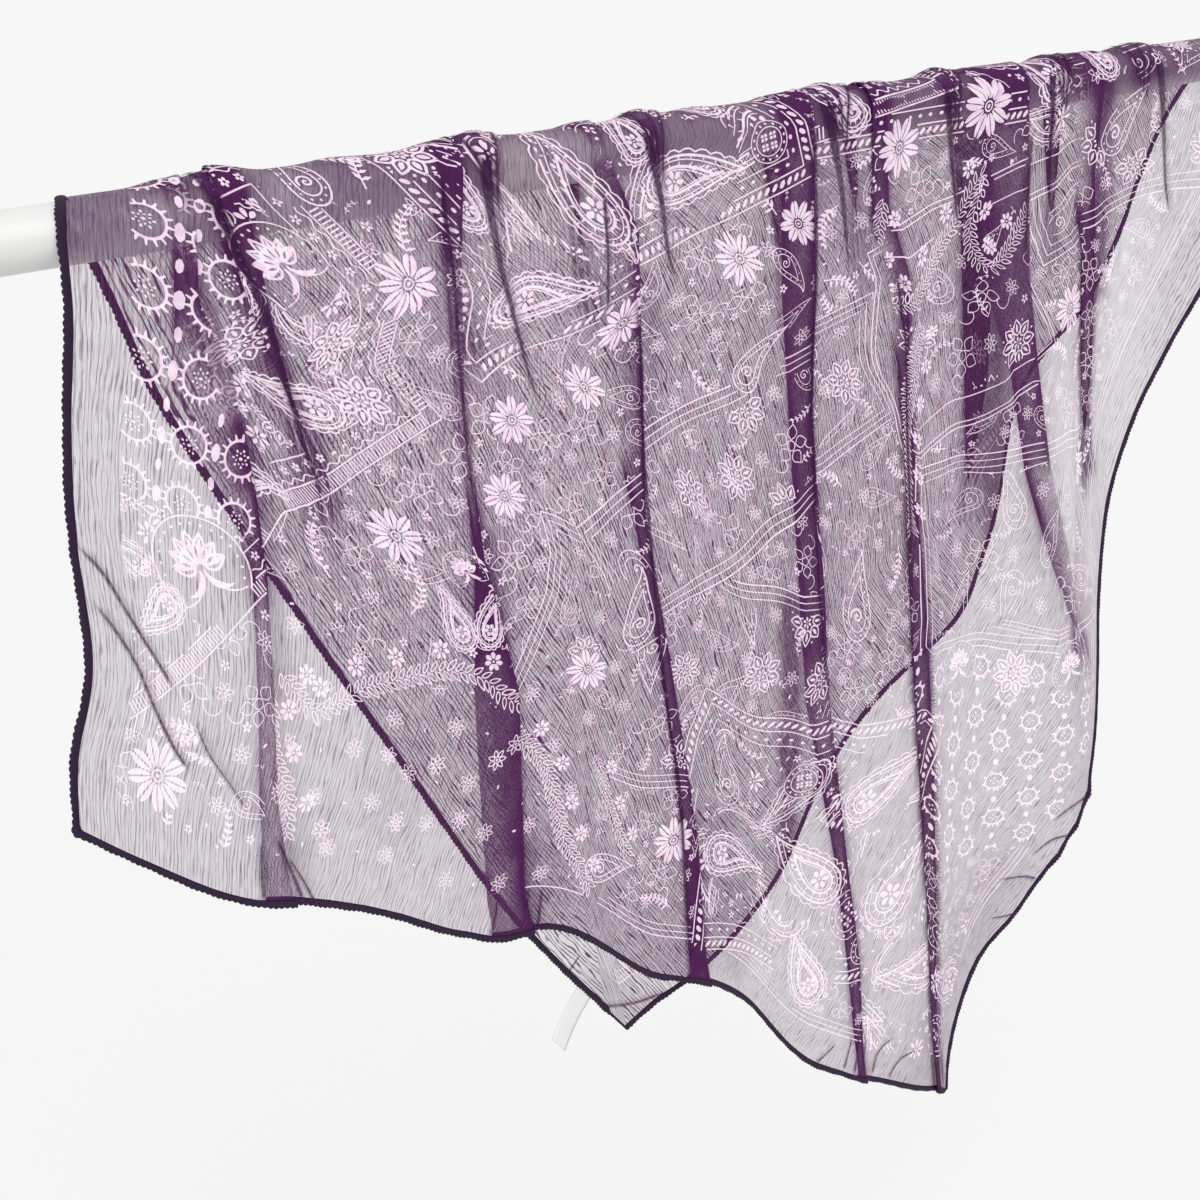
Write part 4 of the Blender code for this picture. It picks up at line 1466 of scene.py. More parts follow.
PATCHES = (
    Patch((0.350, 0.350), (0.660, 0.660), 0, Border.LINES, Field.DAISIES, 1.1),
    Patch((0.330, 0.520), (0.250, 0.190), 35, Border.ROPE, Field.PAISLEYS, 1.15),
    Patch((0.105, 0.400), (0.170, 0.200), 12, Border.LADDER, Field.ROSETTES, 1.1),
    Patch((0.120, 0.590), (0.190, 0.200), -8, Border.COMB, Field.RINGS),
    Patch((0.235, 0.470), (0.130, 0.150), 58, Border.LINES, Field.LINE_PAISLEYS, 1.1),
    Patch((0.480, 0.640), (0.210, 0.130), 18, Border.ROPE, Field.TINY, 1.2),
    Patch((0.270, 0.645), (0.160, 0.110), 4, Border.LADDER, Field.PAISLEYS, 1.1),
    Patch((0.330, 0.150), (0.210, 0.120), 12, Border.LINES, Field.LINE_PAISLEYS, 1.2),
    Patch((0.340, 0.262), (0.250, 0.066), 49, Border.LINES, Field.LINE_PAISLEYS, 1.2),
    Patch((0.208, 0.348), (0.206, 0.115), 50, Border.ROPE, Field.PAISLEYS, 1.1),
    Patch((0.190, 0.064), (0.220, 0.090), 2, Border.PLAIN, Field.TINY),
    Patch((0.047, 0.163), (0.225, 0.110), 49, Border.LADDER, Field.ROSETTES),
    Patch((0.040, 0.215), (0.056, 0.178), 0, Border.PLAIN, Field.SUNS),
    Patch((0.046, 0.030), (0.070, 0.034), 4, Border.PLAIN, Field.DAISIES),
    Patch((0.346, 0.478), (0.120, 0.080), 42, Border.LADDER, Field.ROSETTES, 1.2),
    Patch((0.485, 0.418), (0.180, 0.110), 47, Border.COMB, Field.LINE_PAISLEYS, 1.3),
    Patch((0.600, 0.575), (0.180, 0.090), 40, Border.LINES, Field.LINE_PAISLEYS, 1.5),
    Patch((0.520, 0.535), (0.110, 0.060), 40, Border.COMB, Field.ROSETTES, 1.3),
    Patch((0.590, 0.330), (0.190, 0.110), 30, Border.LINES, Field.LINE_PAISLEYS, 1.4),
    Patch((0.612, 0.205), (0.160, 0.130), 28, Border.PLAIN, Field.RINGS),
    Patch((0.480, 0.110), (0.230, 0.150), 16, Border.ROPE, Field.PAISLEYS, 1.35),
    Patch((0.625, 0.055), (0.120, 0.080), 16, Border.PLAIN, Field.PAISLEYS, 1.35),
)


# What stands by itself in the print

class Kind(Enum):
    """What a motif that stands by itself is, by its method of Motifs."""

    DAISY = "daisy"
    LOTUS = "lotus"
    ROSETTE = "rosette"
    RINGED = "ringed"
    PAISLEY = "paisley"
    LINE_PAISLEY = "line_paisley"
    POSY = "posy"


class Placed(NamedTuple):
    """A motif that stands by itself: its kind, flat place, radius or height, and turn in degrees."""

    kind: Kind
    u: float
    v: float
    size: float
    turn: float = 0.0

    def drawn(self) -> Drawing:
        """The motif in its place."""
        return getattr(Motifs, self.kind.value)(self.size).moved((self.u, self.v), radians(self.turn))

    @property
    def reach(self) -> float:
        """How far about its middle the print is kept clear for it."""
        return self.size * (0.52 if self.kind in (Kind.PAISLEY, Kind.LINE_PAISLEY) else 1.04)


def placed(kind: Kind, *rows: tuple[float, ...]) -> tuple[Placed, ...]:
    """Motifs of one kind, from rows of numbers: the place and the size in millimetres, and the turn."""
    return tuple(Placed(kind, *map(metres, row[:3]), *row[3:]) for row in rows)


PLACED = (
    *placed(
        Kind.DAISY,
        (127, 247, 11.2, 10), (199, 221, 10, 25), (200, 189, 9.8, 5), (144, 157, 11.2, 18), (34, 34, 12.5),
        (266, 127, 11.5, 12), (354, 67, 11.5, 30), (295, 340, 11.5, 8), (233, 279, 10, 20), (229, 252, 9),
        (319, 368, 9.5, 14), (398, 450, 12.5, 22), (434, 489, 13.5, 3), (590, 466, 13, 16),
        (652, 407, 13.5, 28), (300, 460, 12, 4), (180, 540, 12, 20), (420, 580, 12, 11),
    ),
    *placed(
        Kind.LOTUS,
        (89, 236, 15, 60), (47, 110, 18.5, 30), (170, 150, 8.5, 34), (570, 246, 14, 30), (641, 284, 14, 30),
    ),
    *placed(
        Kind.ROSETTE,
        (133, 208, 10), (116, 222, 8.2, 20), (606, 262, 13), (62, 262, 8.8, 10), (126, 300, 11),
        (218, 376, 10, 12), (376, 484, 10), (546, 590, 11, 8), (630, 650, 11, 16),
    ),
    *placed(
        Kind.RINGED,
        (146, 222, 6), (288, 389, 8.8), (540, 70, 10), (440, 142, 11), (546, 183, 10), (462, 536, 9.6),
    ),
    *placed(
        Kind.PAISLEY,
        (110, 196, 34, 118), (84, 152, 36, -62), (30, 88, 24, 160), (197, 322, 50, 58), (191, 273, 38, -32),
        (262, 362, 44, -32), (228, 366, 30, 40), (158, 300, 30, 30), (164, 128, 25, 52), (179, 134, 25, 16),
        (517, 163, 52, -20), (562, 122, 68, 10), (476, 98, 56, 96), (609, 66, 56, 130), (423, 76, 48, -50),
        (505, 46, 44, 70), (160, 342, 30, 70), (254, 404, 34, 60), (340, 446, 40, 66), (506, 560, 42, 60),
        (580, 616, 36, 40),
    ),
    *placed(
        Kind.LINE_PAISLEY,
        (333, 313, 30, 20), (274, 166, 34, 40), (448, 244, 42, 30), (610, 589, 42, 10), (392, 116, 44, 60),
        (318, 42, 32, -40), (92, 276, 30, 60),
    ),
    *placed(
        Kind.POSY,
        (170, 70, 4.4), (198, 77, 4.4, 20), (190, 50, 4.4, 40), (126, 30, 4.4), (159, 40, 4.4, 10),
        (146, 66, 4, 30), (222, 60, 4.4), (240, 36, 4.2, 25),
    ),
)


class Edging(Enum):
    """What follows a path of the print."""

    LAUREL = "laurel"
    LINES = "three lines"


class Garland(NamedTuple):
    """A line of the print that follows its own path."""

    edging: Edging
    path: tuple[tuple[float, float], ...]
    leaf_step: float = 0.0019

    def drawn(self) -> Drawing:
        """The garland in its place."""
        made = Drawing()
        line = smooth_line(self.path, 200)
        run = run_length(line)
        if self.edging is Edging.LINES:
            for k in range(3):
                made.line(moved_in(line[::8], 0.0022 * k), 0.0004)
            return made
        count = int(run[-1] / self.leaf_step)
        steps = np.interp(np.arange(count) * self.leaf_step, run, np.arange(len(line)))
        spots = on_line(line, steps)
        way = np.gradient(spots, axis=0)
        leaf = Motifs.petal_loop(0.0002, 0.0056, 0.0018, 0.00042)
        for k, (spot, (x, y)) in enumerate(zip(spots, way)):
            side = 1 if k % 2 else -1
            made.add(leaf.moved(spot, np.arctan2(y, x) + side * 0.80, 1.20 if k % 7 == 3 else 1.0))
            if k % 10 == 4:
                fan = Motifs.floret(0.0040, 7)
                made.add(fan.moved(spot + np.array([-y, x]) / np.hypot(x, y) * 0.0085))
        return made

    @property
    def reach(self) -> float:
        """How far about its path the print is kept clear for it."""
        return 0.0058 if self.edging is Edging.LAUREL else 0.0046


GARLANDS = (
    Garland(Edging.LAUREL, line_of(
        91, 84, 108, 74, 123, 84, 143, 98, 160, 106, 179, 108, 195, 101, 228, 96, 263, 79, 285, 47, 312, 24
    )),
    Garland(Edging.LAUREL, line_of(86, 76, 94, 56, 106, 40, 112, 22)),
    Garland(Edging.LAUREL, line_of(292, 90, 312, 66, 330, 52)),
    Garland(Edging.LAUREL, line_of(
        404, 428, 420, 404, 434, 395, 447, 410, 453, 440, 453, 467, 470, 442, 484, 436, 492, 452, 494, 478
    )),
    Garland(Edging.LAUREL, line_of(455, 400, 462, 352, 480, 320, 500, 290)),
    Garland(Edging.LINES, line_of(545, 262, 590, 285, 632, 304, 680, 330)),
)


# Finishes

class Shader:
    """A material's node tree, with short calls to add its nodes."""

    def __init__(self, name: str) -> None:
        """Starts a material that holds one Principled shader."""
        self.material = bpy.data.materials.new(name)
        self.material.use_nodes = True
        self.nodes = self.material.node_tree.nodes
        self.links = self.material.node_tree.links
        self.surface = self.nodes["Principled BSDF"]

    def set(self, **values: object) -> None:
        """Sets the shader's own sockets; an underscore in a name stands for a space."""
        for name, value in values.items():
            self.surface.inputs[name.replace("_", " ")].default_value = value

    def node(self, kind: str, inputs: dict[str, object] | None = None, **settings: object) -> bpy.types.Node:
        """Adds a node.

        Args:
            kind: The node's type, without its ShaderNode prefix.
            inputs: Values or output sockets for its inputs, by name or index.
            settings: The node's own settings.

        Returns:
            The node.
        """
        made = self.nodes.new("ShaderNode" + kind)
        for name, value in settings.items():
            setattr(made, name, value)
        for name, value in (inputs or {}).items():
            if isinstance(value, Socket):
                self.links.new(value, made.inputs[name])
            else:
                made.inputs[name].default_value = value
        return made

    def maths(self, operation: str, first: object, second: object = 0.0, third: object = 0.0) -> Socket:
        """The output of a Math node."""
        return self.node("Math", {0: first, 1: second, 2: third}, operation=operation).outputs[0]

    def stretched(self, source: Socket, scale: Sequence[float], turn: float = 0.0) -> Socket:
        """Coordinates scaled along each axis after a turn about Z."""
        inputs = {"Vector": source, "Scale": tuple(scale), "Rotation": (0.0, 0.0, turn)}
        return self.node("Mapping", inputs).outputs[0]

    def noise(self, vector: Socket, scale: float, detail: float = 2.0) -> Socket:
        """The value of a noise texture."""
        return self.node("TexNoise", {"Vector": vector, "Scale": scale, "Detail": detail}).outputs[0]

    def ramp(self, value: Socket, low: float, high: float, start: float, end: float) -> Socket:
        """A value carried from one range to another, and held at its ends."""
        return self.node(
            "MapRange", {"Value": value, "From Min": low, "From Max": high, "To Min": start, "To Max": end}
        ).outputs[0]

    def link(self, source: Socket, name: str) -> None:
        """Leads a socket to one of the shader's own."""
        self.links.new(source, self.surface.inputs[name])

    def blend(self, share: Socket, first: Sequence[float], second: Sequence[float]) -> None:
        """Gives the surface a colour that goes from a first to a second one with a share."""
        mix = self.node("Mix", {"Factor": share}, data_type="RGBA")
        mix.inputs[6].default_value = (*first, 1.0)
        mix.inputs[7].default_value = (*second, 1.0)
        self.link(mix.outputs[2], "Base Color")

    def bump(self, height: Socket, strength: float, distance: float) -> None:
        """Gives the surface a bump."""
        made = self.node("Bump", {"Height": height, "Strength": strength, "Distance": distance})
        self.link(made.outputs[0], "Normal")


@dataclass(frozen=True)
class Chiffon:
    """Crinkled sheer chiffon: open cloth with wavering lines of drawn-up warp, denser where it lies gathered.

    Args:
        pale: Its colour where it lies single.
        deep: Its darker colour where it lies gathered, partly painted shade in the folds.
        cover: How much it covers between its lines.
        back_cover: How much it does behind.
        fold_cover: How much it covers in a tight fold.
        thin_cover: How much it covers where a soft fold runs out.
        line_cover: How much more its lines cover.
        back_line_cover: How much more they cover behind, where the cloth is only seen through the front fall.
        line_scale: How close they lie.
    """

    pale: tuple[float, float, float] = (0.106, 0.027, 0.106)
    deep: tuple[float, float, float] = (0.058, 0.010, 0.064)
    cover: float = 0.228
    back_cover: float = 0.168
    fold_cover: float = 0.90
    thin_cover: float = 0.02
    line_cover: float = 0.38
    back_line_cover: float = 0.92
    line_scale: float = 205.0

    def build(self) -> bpy.types.Material:
        """Builds the material."""
        shader = Shader("chiffon")
        flat = shader.node("UVMap", uv_map="Flat").outputs[0]
        fold = shader.node("Attribute", attribute_name="Fold").outputs["Fac"]
        behind = shader.node("Attribute", attribute_name="Behind").outputs["Fac"]
        warp = self.wave(shader, shader.stretched(flat, (1.0, 0.15, 1.0)), self.line_scale, 8.0)
        finer = self.wave(shader, shader.stretched(flat, (1.0, 0.22, 1.0), 0.12), self.line_scale * 2.3, 7.0)
        thread = shader.noise(shader.stretched(flat, (1.0, 0.10, 1.0)), 1500.0, 1.0)
        patchy = shader.ramp(shader.noise(flat, 120.0), 0.35, 0.65, 0.50, 1.20)
        line = shader.maths("MULTIPLY", shader.ramp(warp, 0.58, 1.0, 0.0, 1.0), patchy)
        line = shader.maths("MULTIPLY", line, shader.ramp(fold, 0.0, 0.6, 1.0, 0.35))
        faint = shader.ramp(finer, 0.45, 1.0, 0.0, 0.20)
        gathered = shader.ramp(fold, 0.0, 1.0, 0.0, 1.0)
        base = shader.ramp(behind, 0.0, 1.0, self.cover, self.back_cover)
        strength = shader.ramp(behind, 0.0, 1.0, self.line_cover, self.back_line_cover)
        alpha = shader.maths("MULTIPLY_ADD", line, strength, base)
        alpha = shader.maths("ADD", faint, alpha)
        alpha = shader.maths("MULTIPLY_ADD", shader.maths("SUBTRACT", thread, 0.5), 0.32, alpha)
        denser = self.fold_cover - self.cover - self.line_cover / 4
        alpha = shader.maths("MULTIPLY_ADD", gathered, denser, alpha)
        fading = shader.ramp(fold, -1.0, 0.0, self.thin_cover, 1.0)
        alpha = shader.maths("MULTIPLY", alpha, fading)
        held = shader.node("Clamp", {"Value": alpha, "Min": 0.01, "Max": 0.97}).outputs[0]
        shader.link(held, "Alpha")
        # Painted shade, partly the gathered cloth's own depth of colour: darker towards deep as the cloth is
        # denser
        shader.blend(gathered, self.pale, self.deep)
        shader.set(Roughness=0.62, Specular_IOR_Level=0.06)
        shader.bump(line, 0.4, 0.0004)
        return shader.material

    @staticmethod
    def wave(shader: Shader, vector: Socket, scale: float, distortion: float) -> Socket:
        """The value of a wavering set of lines across the first axis."""
        inputs = {"Vector": vector, "Scale": scale, "Distortion": distortion, "Detail Scale": 1.6}
        return shader.node("TexWave", inputs).outputs[1]


@dataclass(frozen=True)
class PinchedChiffon:
    """The same cloth pinched tight in a crease: a dark purple, with a soft shade beside it."""

    colour: tuple[float, float, float] = (0.034, 0.007, 0.040)
    shade: tuple[float, float, float] = (0.086, 0.016, 0.092)
    cover: float = 0.84

    def build(self) -> bpy.types.Material:
        """Builds the material."""
        shader = Shader("pinched_chiffon")
        place = shader.node("TexCoord").outputs["Object"]
        depth = shader.node("Attribute", attribute_name="Depth").outputs["Fac"]
        broken = shader.ramp(shader.noise(place, 420.0), 0.30, 0.60, 0.74, 1.0)
        shader.link(shader.maths("MULTIPLY", shader.maths("MULTIPLY", depth, self.cover), broken), "Alpha")
        shader.blend(shader.ramp(depth, 0.3, 1.0, 0.0, 1.0), self.shade, self.colour)
        shader.set(Roughness=0.6, Specular_IOR_Level=0.06)
        return shader.material


@dataclass(frozen=True)
class PaleInk:
    """Pale pink-lilac ink, broken a little by the cloth's threads."""

    colour: tuple[float, float, float] = (1.0, 0.87, 0.97)
    second: tuple[float, float, float] = (0.93, 0.68, 0.86)
    cover: float = 0.62

    def build(self) -> bpy.types.Material:
        """Builds the material."""
        shader = Shader("pale_ink")
        place = shader.node("TexCoord").outputs["Object"]
        patchy = shader.noise(place, 260.0, 3.0)
        shader.blend(shader.ramp(patchy, 0.35, 0.65, 0.0, 1.0), self.colour, self.second)
        shader.set(Roughness=0.7, Specular_IOR_Level=0.1, Alpha=self.cover)
        shader.bump(patchy, 0.3, 0.0003)
        return shader.material


@dataclass(frozen=True)
class Overlock:
    """Dense dark overlock thread, with its slanted stitches."""

    colour: tuple[float, float, float] = (0.008, 0.003, 0.010)
    lit: tuple[float, float, float] = (0.036, 0.011, 0.052)

    def build(self) -> bpy.types.Material:
        """Builds the material."""
        shader = Shader("overlock_thread")
        along = shader.node("UVMap", uv_map="Along").outputs[0]
        slanted = shader.stretched(along, (1.0, 1.0, 1.0), radians(30))
        stitches = shader.node("TexWave", {"Vector": slanted, "Scale": 1500.0, "Distortion": 1.0}).outputs[1]
        shader.blend(shader.ramp(stitches, 0, 1, 0, 1), self.colour, self.lit)
        shader.set(Roughness=0.6, Specular_IOR_Level=0.2)
        shader.bump(stitches, 0.5, 0.0003)
        return shader.material


@dataclass(frozen=True)
class WhitePaint:
    """Smooth white paint with the faintest unevenness."""

    def build(self) -> bpy.types.Material:
        """Builds the material."""
        shader = Shader("white_paint")
        place = shader.node("TexCoord").outputs["Object"]
        shader.set(Base_Color=(0.58, 0.58, 0.575, 1.0))
        rough = shader.ramp(shader.noise(place, 60.0), 0.3, 0.7, 0.30, 0.42)
        shader.link(rough, "Roughness")
        shader.bump(shader.noise(place, 900.0), 0.06, 0.0002)
        return shader.material


@dataclass(frozen=True)
class LabelSatin:
    """Bare white satin ribbon."""

    def build(self) -> bpy.types.Material:
        """Builds the material."""
        shader = Shader("label_satin")
        place = shader.node("TexCoord").outputs["Object"]
        threads = shader.noise(shader.stretched(place, (1.0, 1.0, 0.08)), 3000.0)
        shader.set(Base_Color=(0.61, 0.61, 0.61, 1.0), Roughness=0.34)
        shader.bump(threads, 0.25, 0.0001)
        return shader.material


@dataclass(frozen=True)
class Ground:
    """The plain pale floor."""

    def build(self) -> bpy.types.Material:
        """Builds the material."""
        shader = Shader("ground")
        shader.set(Base_Color=(0.728, 0.728, 0.728, 1.0), Roughness=0.9, Specular_IOR_Level=0.0)
        return shader.material


# Meshes

def finished(name: str, shape: bmesh.types.BMesh) -> bpy.types.Mesh:
    """A smooth mesh of a finished shape, which is freed."""
    mesh = bpy.data.meshes.new(name)
    shape.to_mesh(mesh)
    shape.free()
    mesh.shade_smooth()
    return mesh


def marked(mesh: bpy.types.Mesh, name: str, values: Points) -> None:
    """Gives the points of a grid's mesh an attribute, from a table of columns by rows."""
    made = mesh.attributes.new(name, "FLOAT", "POINT")
    made.data.foreach_set("value", values.T.ravel().astype(np.float32))


def grid_mesh(name: str, points: Points, flat: Points | None = None, layer: str = "Flat") -> bpy.types.Mesh:
    """A grid laid on a table of points.

    Args:
        name: The mesh's name.
        points: Points in space, columns by rows.
        flat: The same points' places for a UV map, if it gets one.
        layer: The UV map's name.

    Returns:
        The mesh, shaded smooth.
    """
    count, rows = points.shape[:2]
    grid = bmesh.new()
    bmesh.ops.create_grid(grid, x_segments=count - 1, y_segments=rows - 1, size=0.5)
    mesh = finished(name, grid)
    order = points.transpose(1, 0, 2).reshape(-1, 3).astype(np.float32)
    mesh.vertices.foreach_set("co", order.ravel())
    if flat is not None:
        corners = np.empty(len(mesh.loops), np.int32)
        mesh.loops.foreach_get("vertex_index", corners)
        uv = mesh.uv_layers.new(name=layer)
        spread = flat.transpose(1, 0, 2).reshape(-1, 2).astype(np.float32)[corners]
        uv.uv.foreach_set("vector", spread.ravel())
    mesh.update()
    return mesh


def ribbon_mesh(name: str, left: Points, right: Points) -> bpy.types.Mesh:
    """Thin ribbons: each stretch's left side is laid as an edge and extruded to its right side.

    Args:
        name: The mesh's name.
        left: The ends of every stretch's left side, in pairs.
        right: The ends of its right side.

    Returns:
        The mesh.
    """
    ribbon = bmesh.new()
    order = ribbon.verts.layers.int.new("order")
    ends = []
    for k in range(len(left)):
        vertex = ribbon.verts.new()
        vertex[order] = k
        ends.append(vertex)
    for start, end in zip(ends[::2], ends[1::2]):
        ribbon.edges.new((start, end))
    bmesh.ops.extrude_edge_only(ribbon, edges=ribbon.edges[:])
    places = (left.tolist(), right.tolist())
    for k, vertex in enumerate(ribbon.verts):
        vertex.co = places[k >= len(left)][vertex[order]]
    bmesh.ops.remove_doubles(ribbon, verts=ribbon.verts, dist=SMALLEST)
    return finished(name, ribbon)


def piece(name: str, mesh: bpy.types.Mesh, finish: bpy.types.Material) -> bpy.types.Object:
    """An object for a finished mesh, riding on the part's only body."""
    made = bpy.data.objects.new(name, mesh)
    mesh.materials.clear()
    mesh.materials.append(finish)
    bpy.context.scene.collection.objects.link(made)
    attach(made, "root")
    return made


# Pieces

@dataclass
class Gathering:
    """How tightly the cloth lies, with painted shade added: -1 where a layer fades away, 0 where it is plain,
    1 in a tight fold.

    Args:
        drape: The hung cloth.
        wrap_density_and_shade: How much denser and darker it looks against the rod: tighter wrap, and painted
            shade.
        wrap_reach: How far below the rod's axis it still does.
        fold_floor: How dense a fold is in its middle.
        fold_sharpness: How fast it thickens towards its turns.
        firm_width: The width up to which a fold is at its densest.
        loosest: How dense the widest folds are.
        fold_side_shade: Painted shade, and the denser look of cloth curving in, on the plain cloth beside a
            fold.
        fold_side_shade_reach: How fast that fades.
        fold_side_shade_reach: How fast that fades.
        knot_density: How dense the gathered bunches are over the rod.
        knot_reach: How far down in front they stay dense.
        knot_sharpness: How much narrower they look than the bunches are.
        softening: How fast a soft part of a fold sets in.
        waver_speeds: How fast a fold's density wavers along it, slowly and quickly.
        waver_depths: How much it does.
    """

    drape: Drape
    wrap_density_and_shade: float = 0.46
    wrap_reach: float = 0.017
    fold_floor: float = 0.48
    fold_sharpness: float = 2.2
    firm_width: float = 0.014
    loosest: float = 0.60
    fold_side_shade: float = 0.42
    fold_side_shade_reach: float = 0.005
    knot_density: float = 0.50
    knot_reach: float = 0.030
    knot_sharpness: float = 4.2
    softening: float = 0.020
    waver_speeds: tuple[float, float] = (71.0, 173.0)
    waver_depths: tuple[float, float] = (0.20, 0.15)

    def tables(self) -> tuple[Points, Points, Points]:
        """The values in front, over the rod and behind, columns by rows."""
        front = self.fall_values(self.drape.front)
        back = self.fall_values(self.drape.back)
        turn = np.linspace(0, 1, PLAN.over_rows + 1)
        return front, mixed(front[:, :1], back[:, :1], turn), back

    def fall_values(self, fall: Fall) -> Points:
        """How dense and dark a fall lies: most at its folds' turns, less beside them, dense against the rod,
        and under its painted shades.
        """
        values = np.zeros_like(fall.drop)
        for i, column in enumerate(COLUMNS):
            if column.kind is ColumnKind.PLEAT:
                swing = abs(column.station.swing)
                outer = column.station.layer / 2
                _, width = column.pleat.lying(fall.side, fall.drop[i])
                loose = np.clip(self.firm_width / np.maximum(width, 0.001), self.loosest, 1)
                slow = fall.drop[i] * self.waver_speeds[0] + column.pleat.opens * swing * 2 + outer * 3
                quick = fall.drop[i] * self.waver_speeds[1] + swing * 4 + column.pleat.front[0].centre * 900
                wavering = 1 + self.waver_depths[0] * np.sin(slow) + self.waver_depths[1] * np.sin(quick)
                near = self.fold_floor + (1 - self.fold_floor) * swing**self.fold_sharpness
                dense = near * loose * wavering * fall.folded(column.pleat, fall.drop[i])
                soft = self.softness(column, fall.drop[i]) * (fall.side == "front")
                values[i] = dense * (1 - soft) + self.vanishing(column.station) * soft
        self.soften(fall, values)
        values = np.clip(values, -1, 1)
        knots = np.zeros_like(values)
        for bunch in BUNCHES:
            knots += np.exp(-(((fall.across - bunch.centre) / bunch.width * self.knot_sharpness) ** 2))
        # Painted shade of the rod's shaded underside, partly the cloth's tighter wrap against the rod
        added = self.wrap_density_and_shade * (1 - eased(fall.drop / self.wrap_reach))
        added = added + self.knot_density * knots * (1 - eased(fall.drop / self.knot_reach))
        here = np.stack([fall.across, fall.drop], axis=-1)
        # Painted shade: the shades darken the cloth, partly where it lies denser
        for shade in SHADES[fall.side]:
            away, _ = beside(here, shade.start, shade.end)
            added = added + shade.strength * eased(1 - away / shade.reach)
        return values + added * (1 + np.minimum(values, 0))

    def softness(self, column: Column, drop: Points) -> Points:
        """How far a pleat's column has faded into the cloth at each drop."""
        soft = np.zeros_like(drop)
        for part in SOFTNESS:
            if part.pleat == column.pleat.name:
                start = eased((drop - part.start) / self.softening + 0.5)
                end = eased((part.end - drop) / self.softening + 0.5)
                place = column.station.swing * column.pleat.opens
                share = ((1 + part.side * place) / 2) ** 0.7 if part.side else 1.0
                soft = np.maximum(soft, part.strength * start * end * share)
        return soft

    @staticmethod
    def vanishing(station: Station) -> float:
        """The density of a pleat's layer, where all three together look like one."""
        if station.layer not in (0, 2):
            return -1.0
        side = station.layer - 1
        return -(((1 + side * station.swing) / 2) ** 1.3)

    def soften(self, fall: Fall, values: Points) -> None:
        """Lets the density, and with it a painted shade, fade out in the plain cloth beside each fold."""
        plain = [i for i, column in enumerate(COLUMNS) if column.kind is not ColumnKind.PLEAT]
        edges = [
            i for i, column in enumerate(COLUMNS)
            if column.kind is ColumnKind.PLEAT and abs(column.station.swing) == 1 and not column.station.bulge
        ]
        for i in edges:
            for j in plain:
                away = np.abs(fall.across[j] - fall.across[i])
                # Painted shade beside each fold, partly the denser look of cloth curving into it
                near = values[i] * self.fold_side_shade * np.exp(-away / self.fold_side_shade_reach)
                values[j] = np.maximum(values[j], near)


@dataclass
class Sheet:
    """The single sheet of chiffon.

    Args:
        drape: The hung cloth.
        chiffon: Its finish.
        tables: How tightly it lies, with its painted shade, in front, over the rod and behind.
    """

    drape: Drape
    chiffon: bpy.types.Material
    tables: tuple[Points, Points, Points]

    def build(self) -> bpy.types.Object:
        """Builds the sheet, and marks how tightly it lies in its folds, with its painted shade."""
        mesh = grid_mesh("scarf_sheet", *self.drape.grid())
        values = end_to_end(self.tables)
        marked(mesh, "Fold", values)
        rows = PLAN.front_rows + 1 + PLAN.over_rows
        marked(mesh, "Behind", (np.arange(values.shape[1]) >= rows) * np.ones_like(values))
        made = piece("scarf_sheet", mesh, self.chiffon)
        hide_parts("front_fall", "over_rod", "back_fall")
        return made


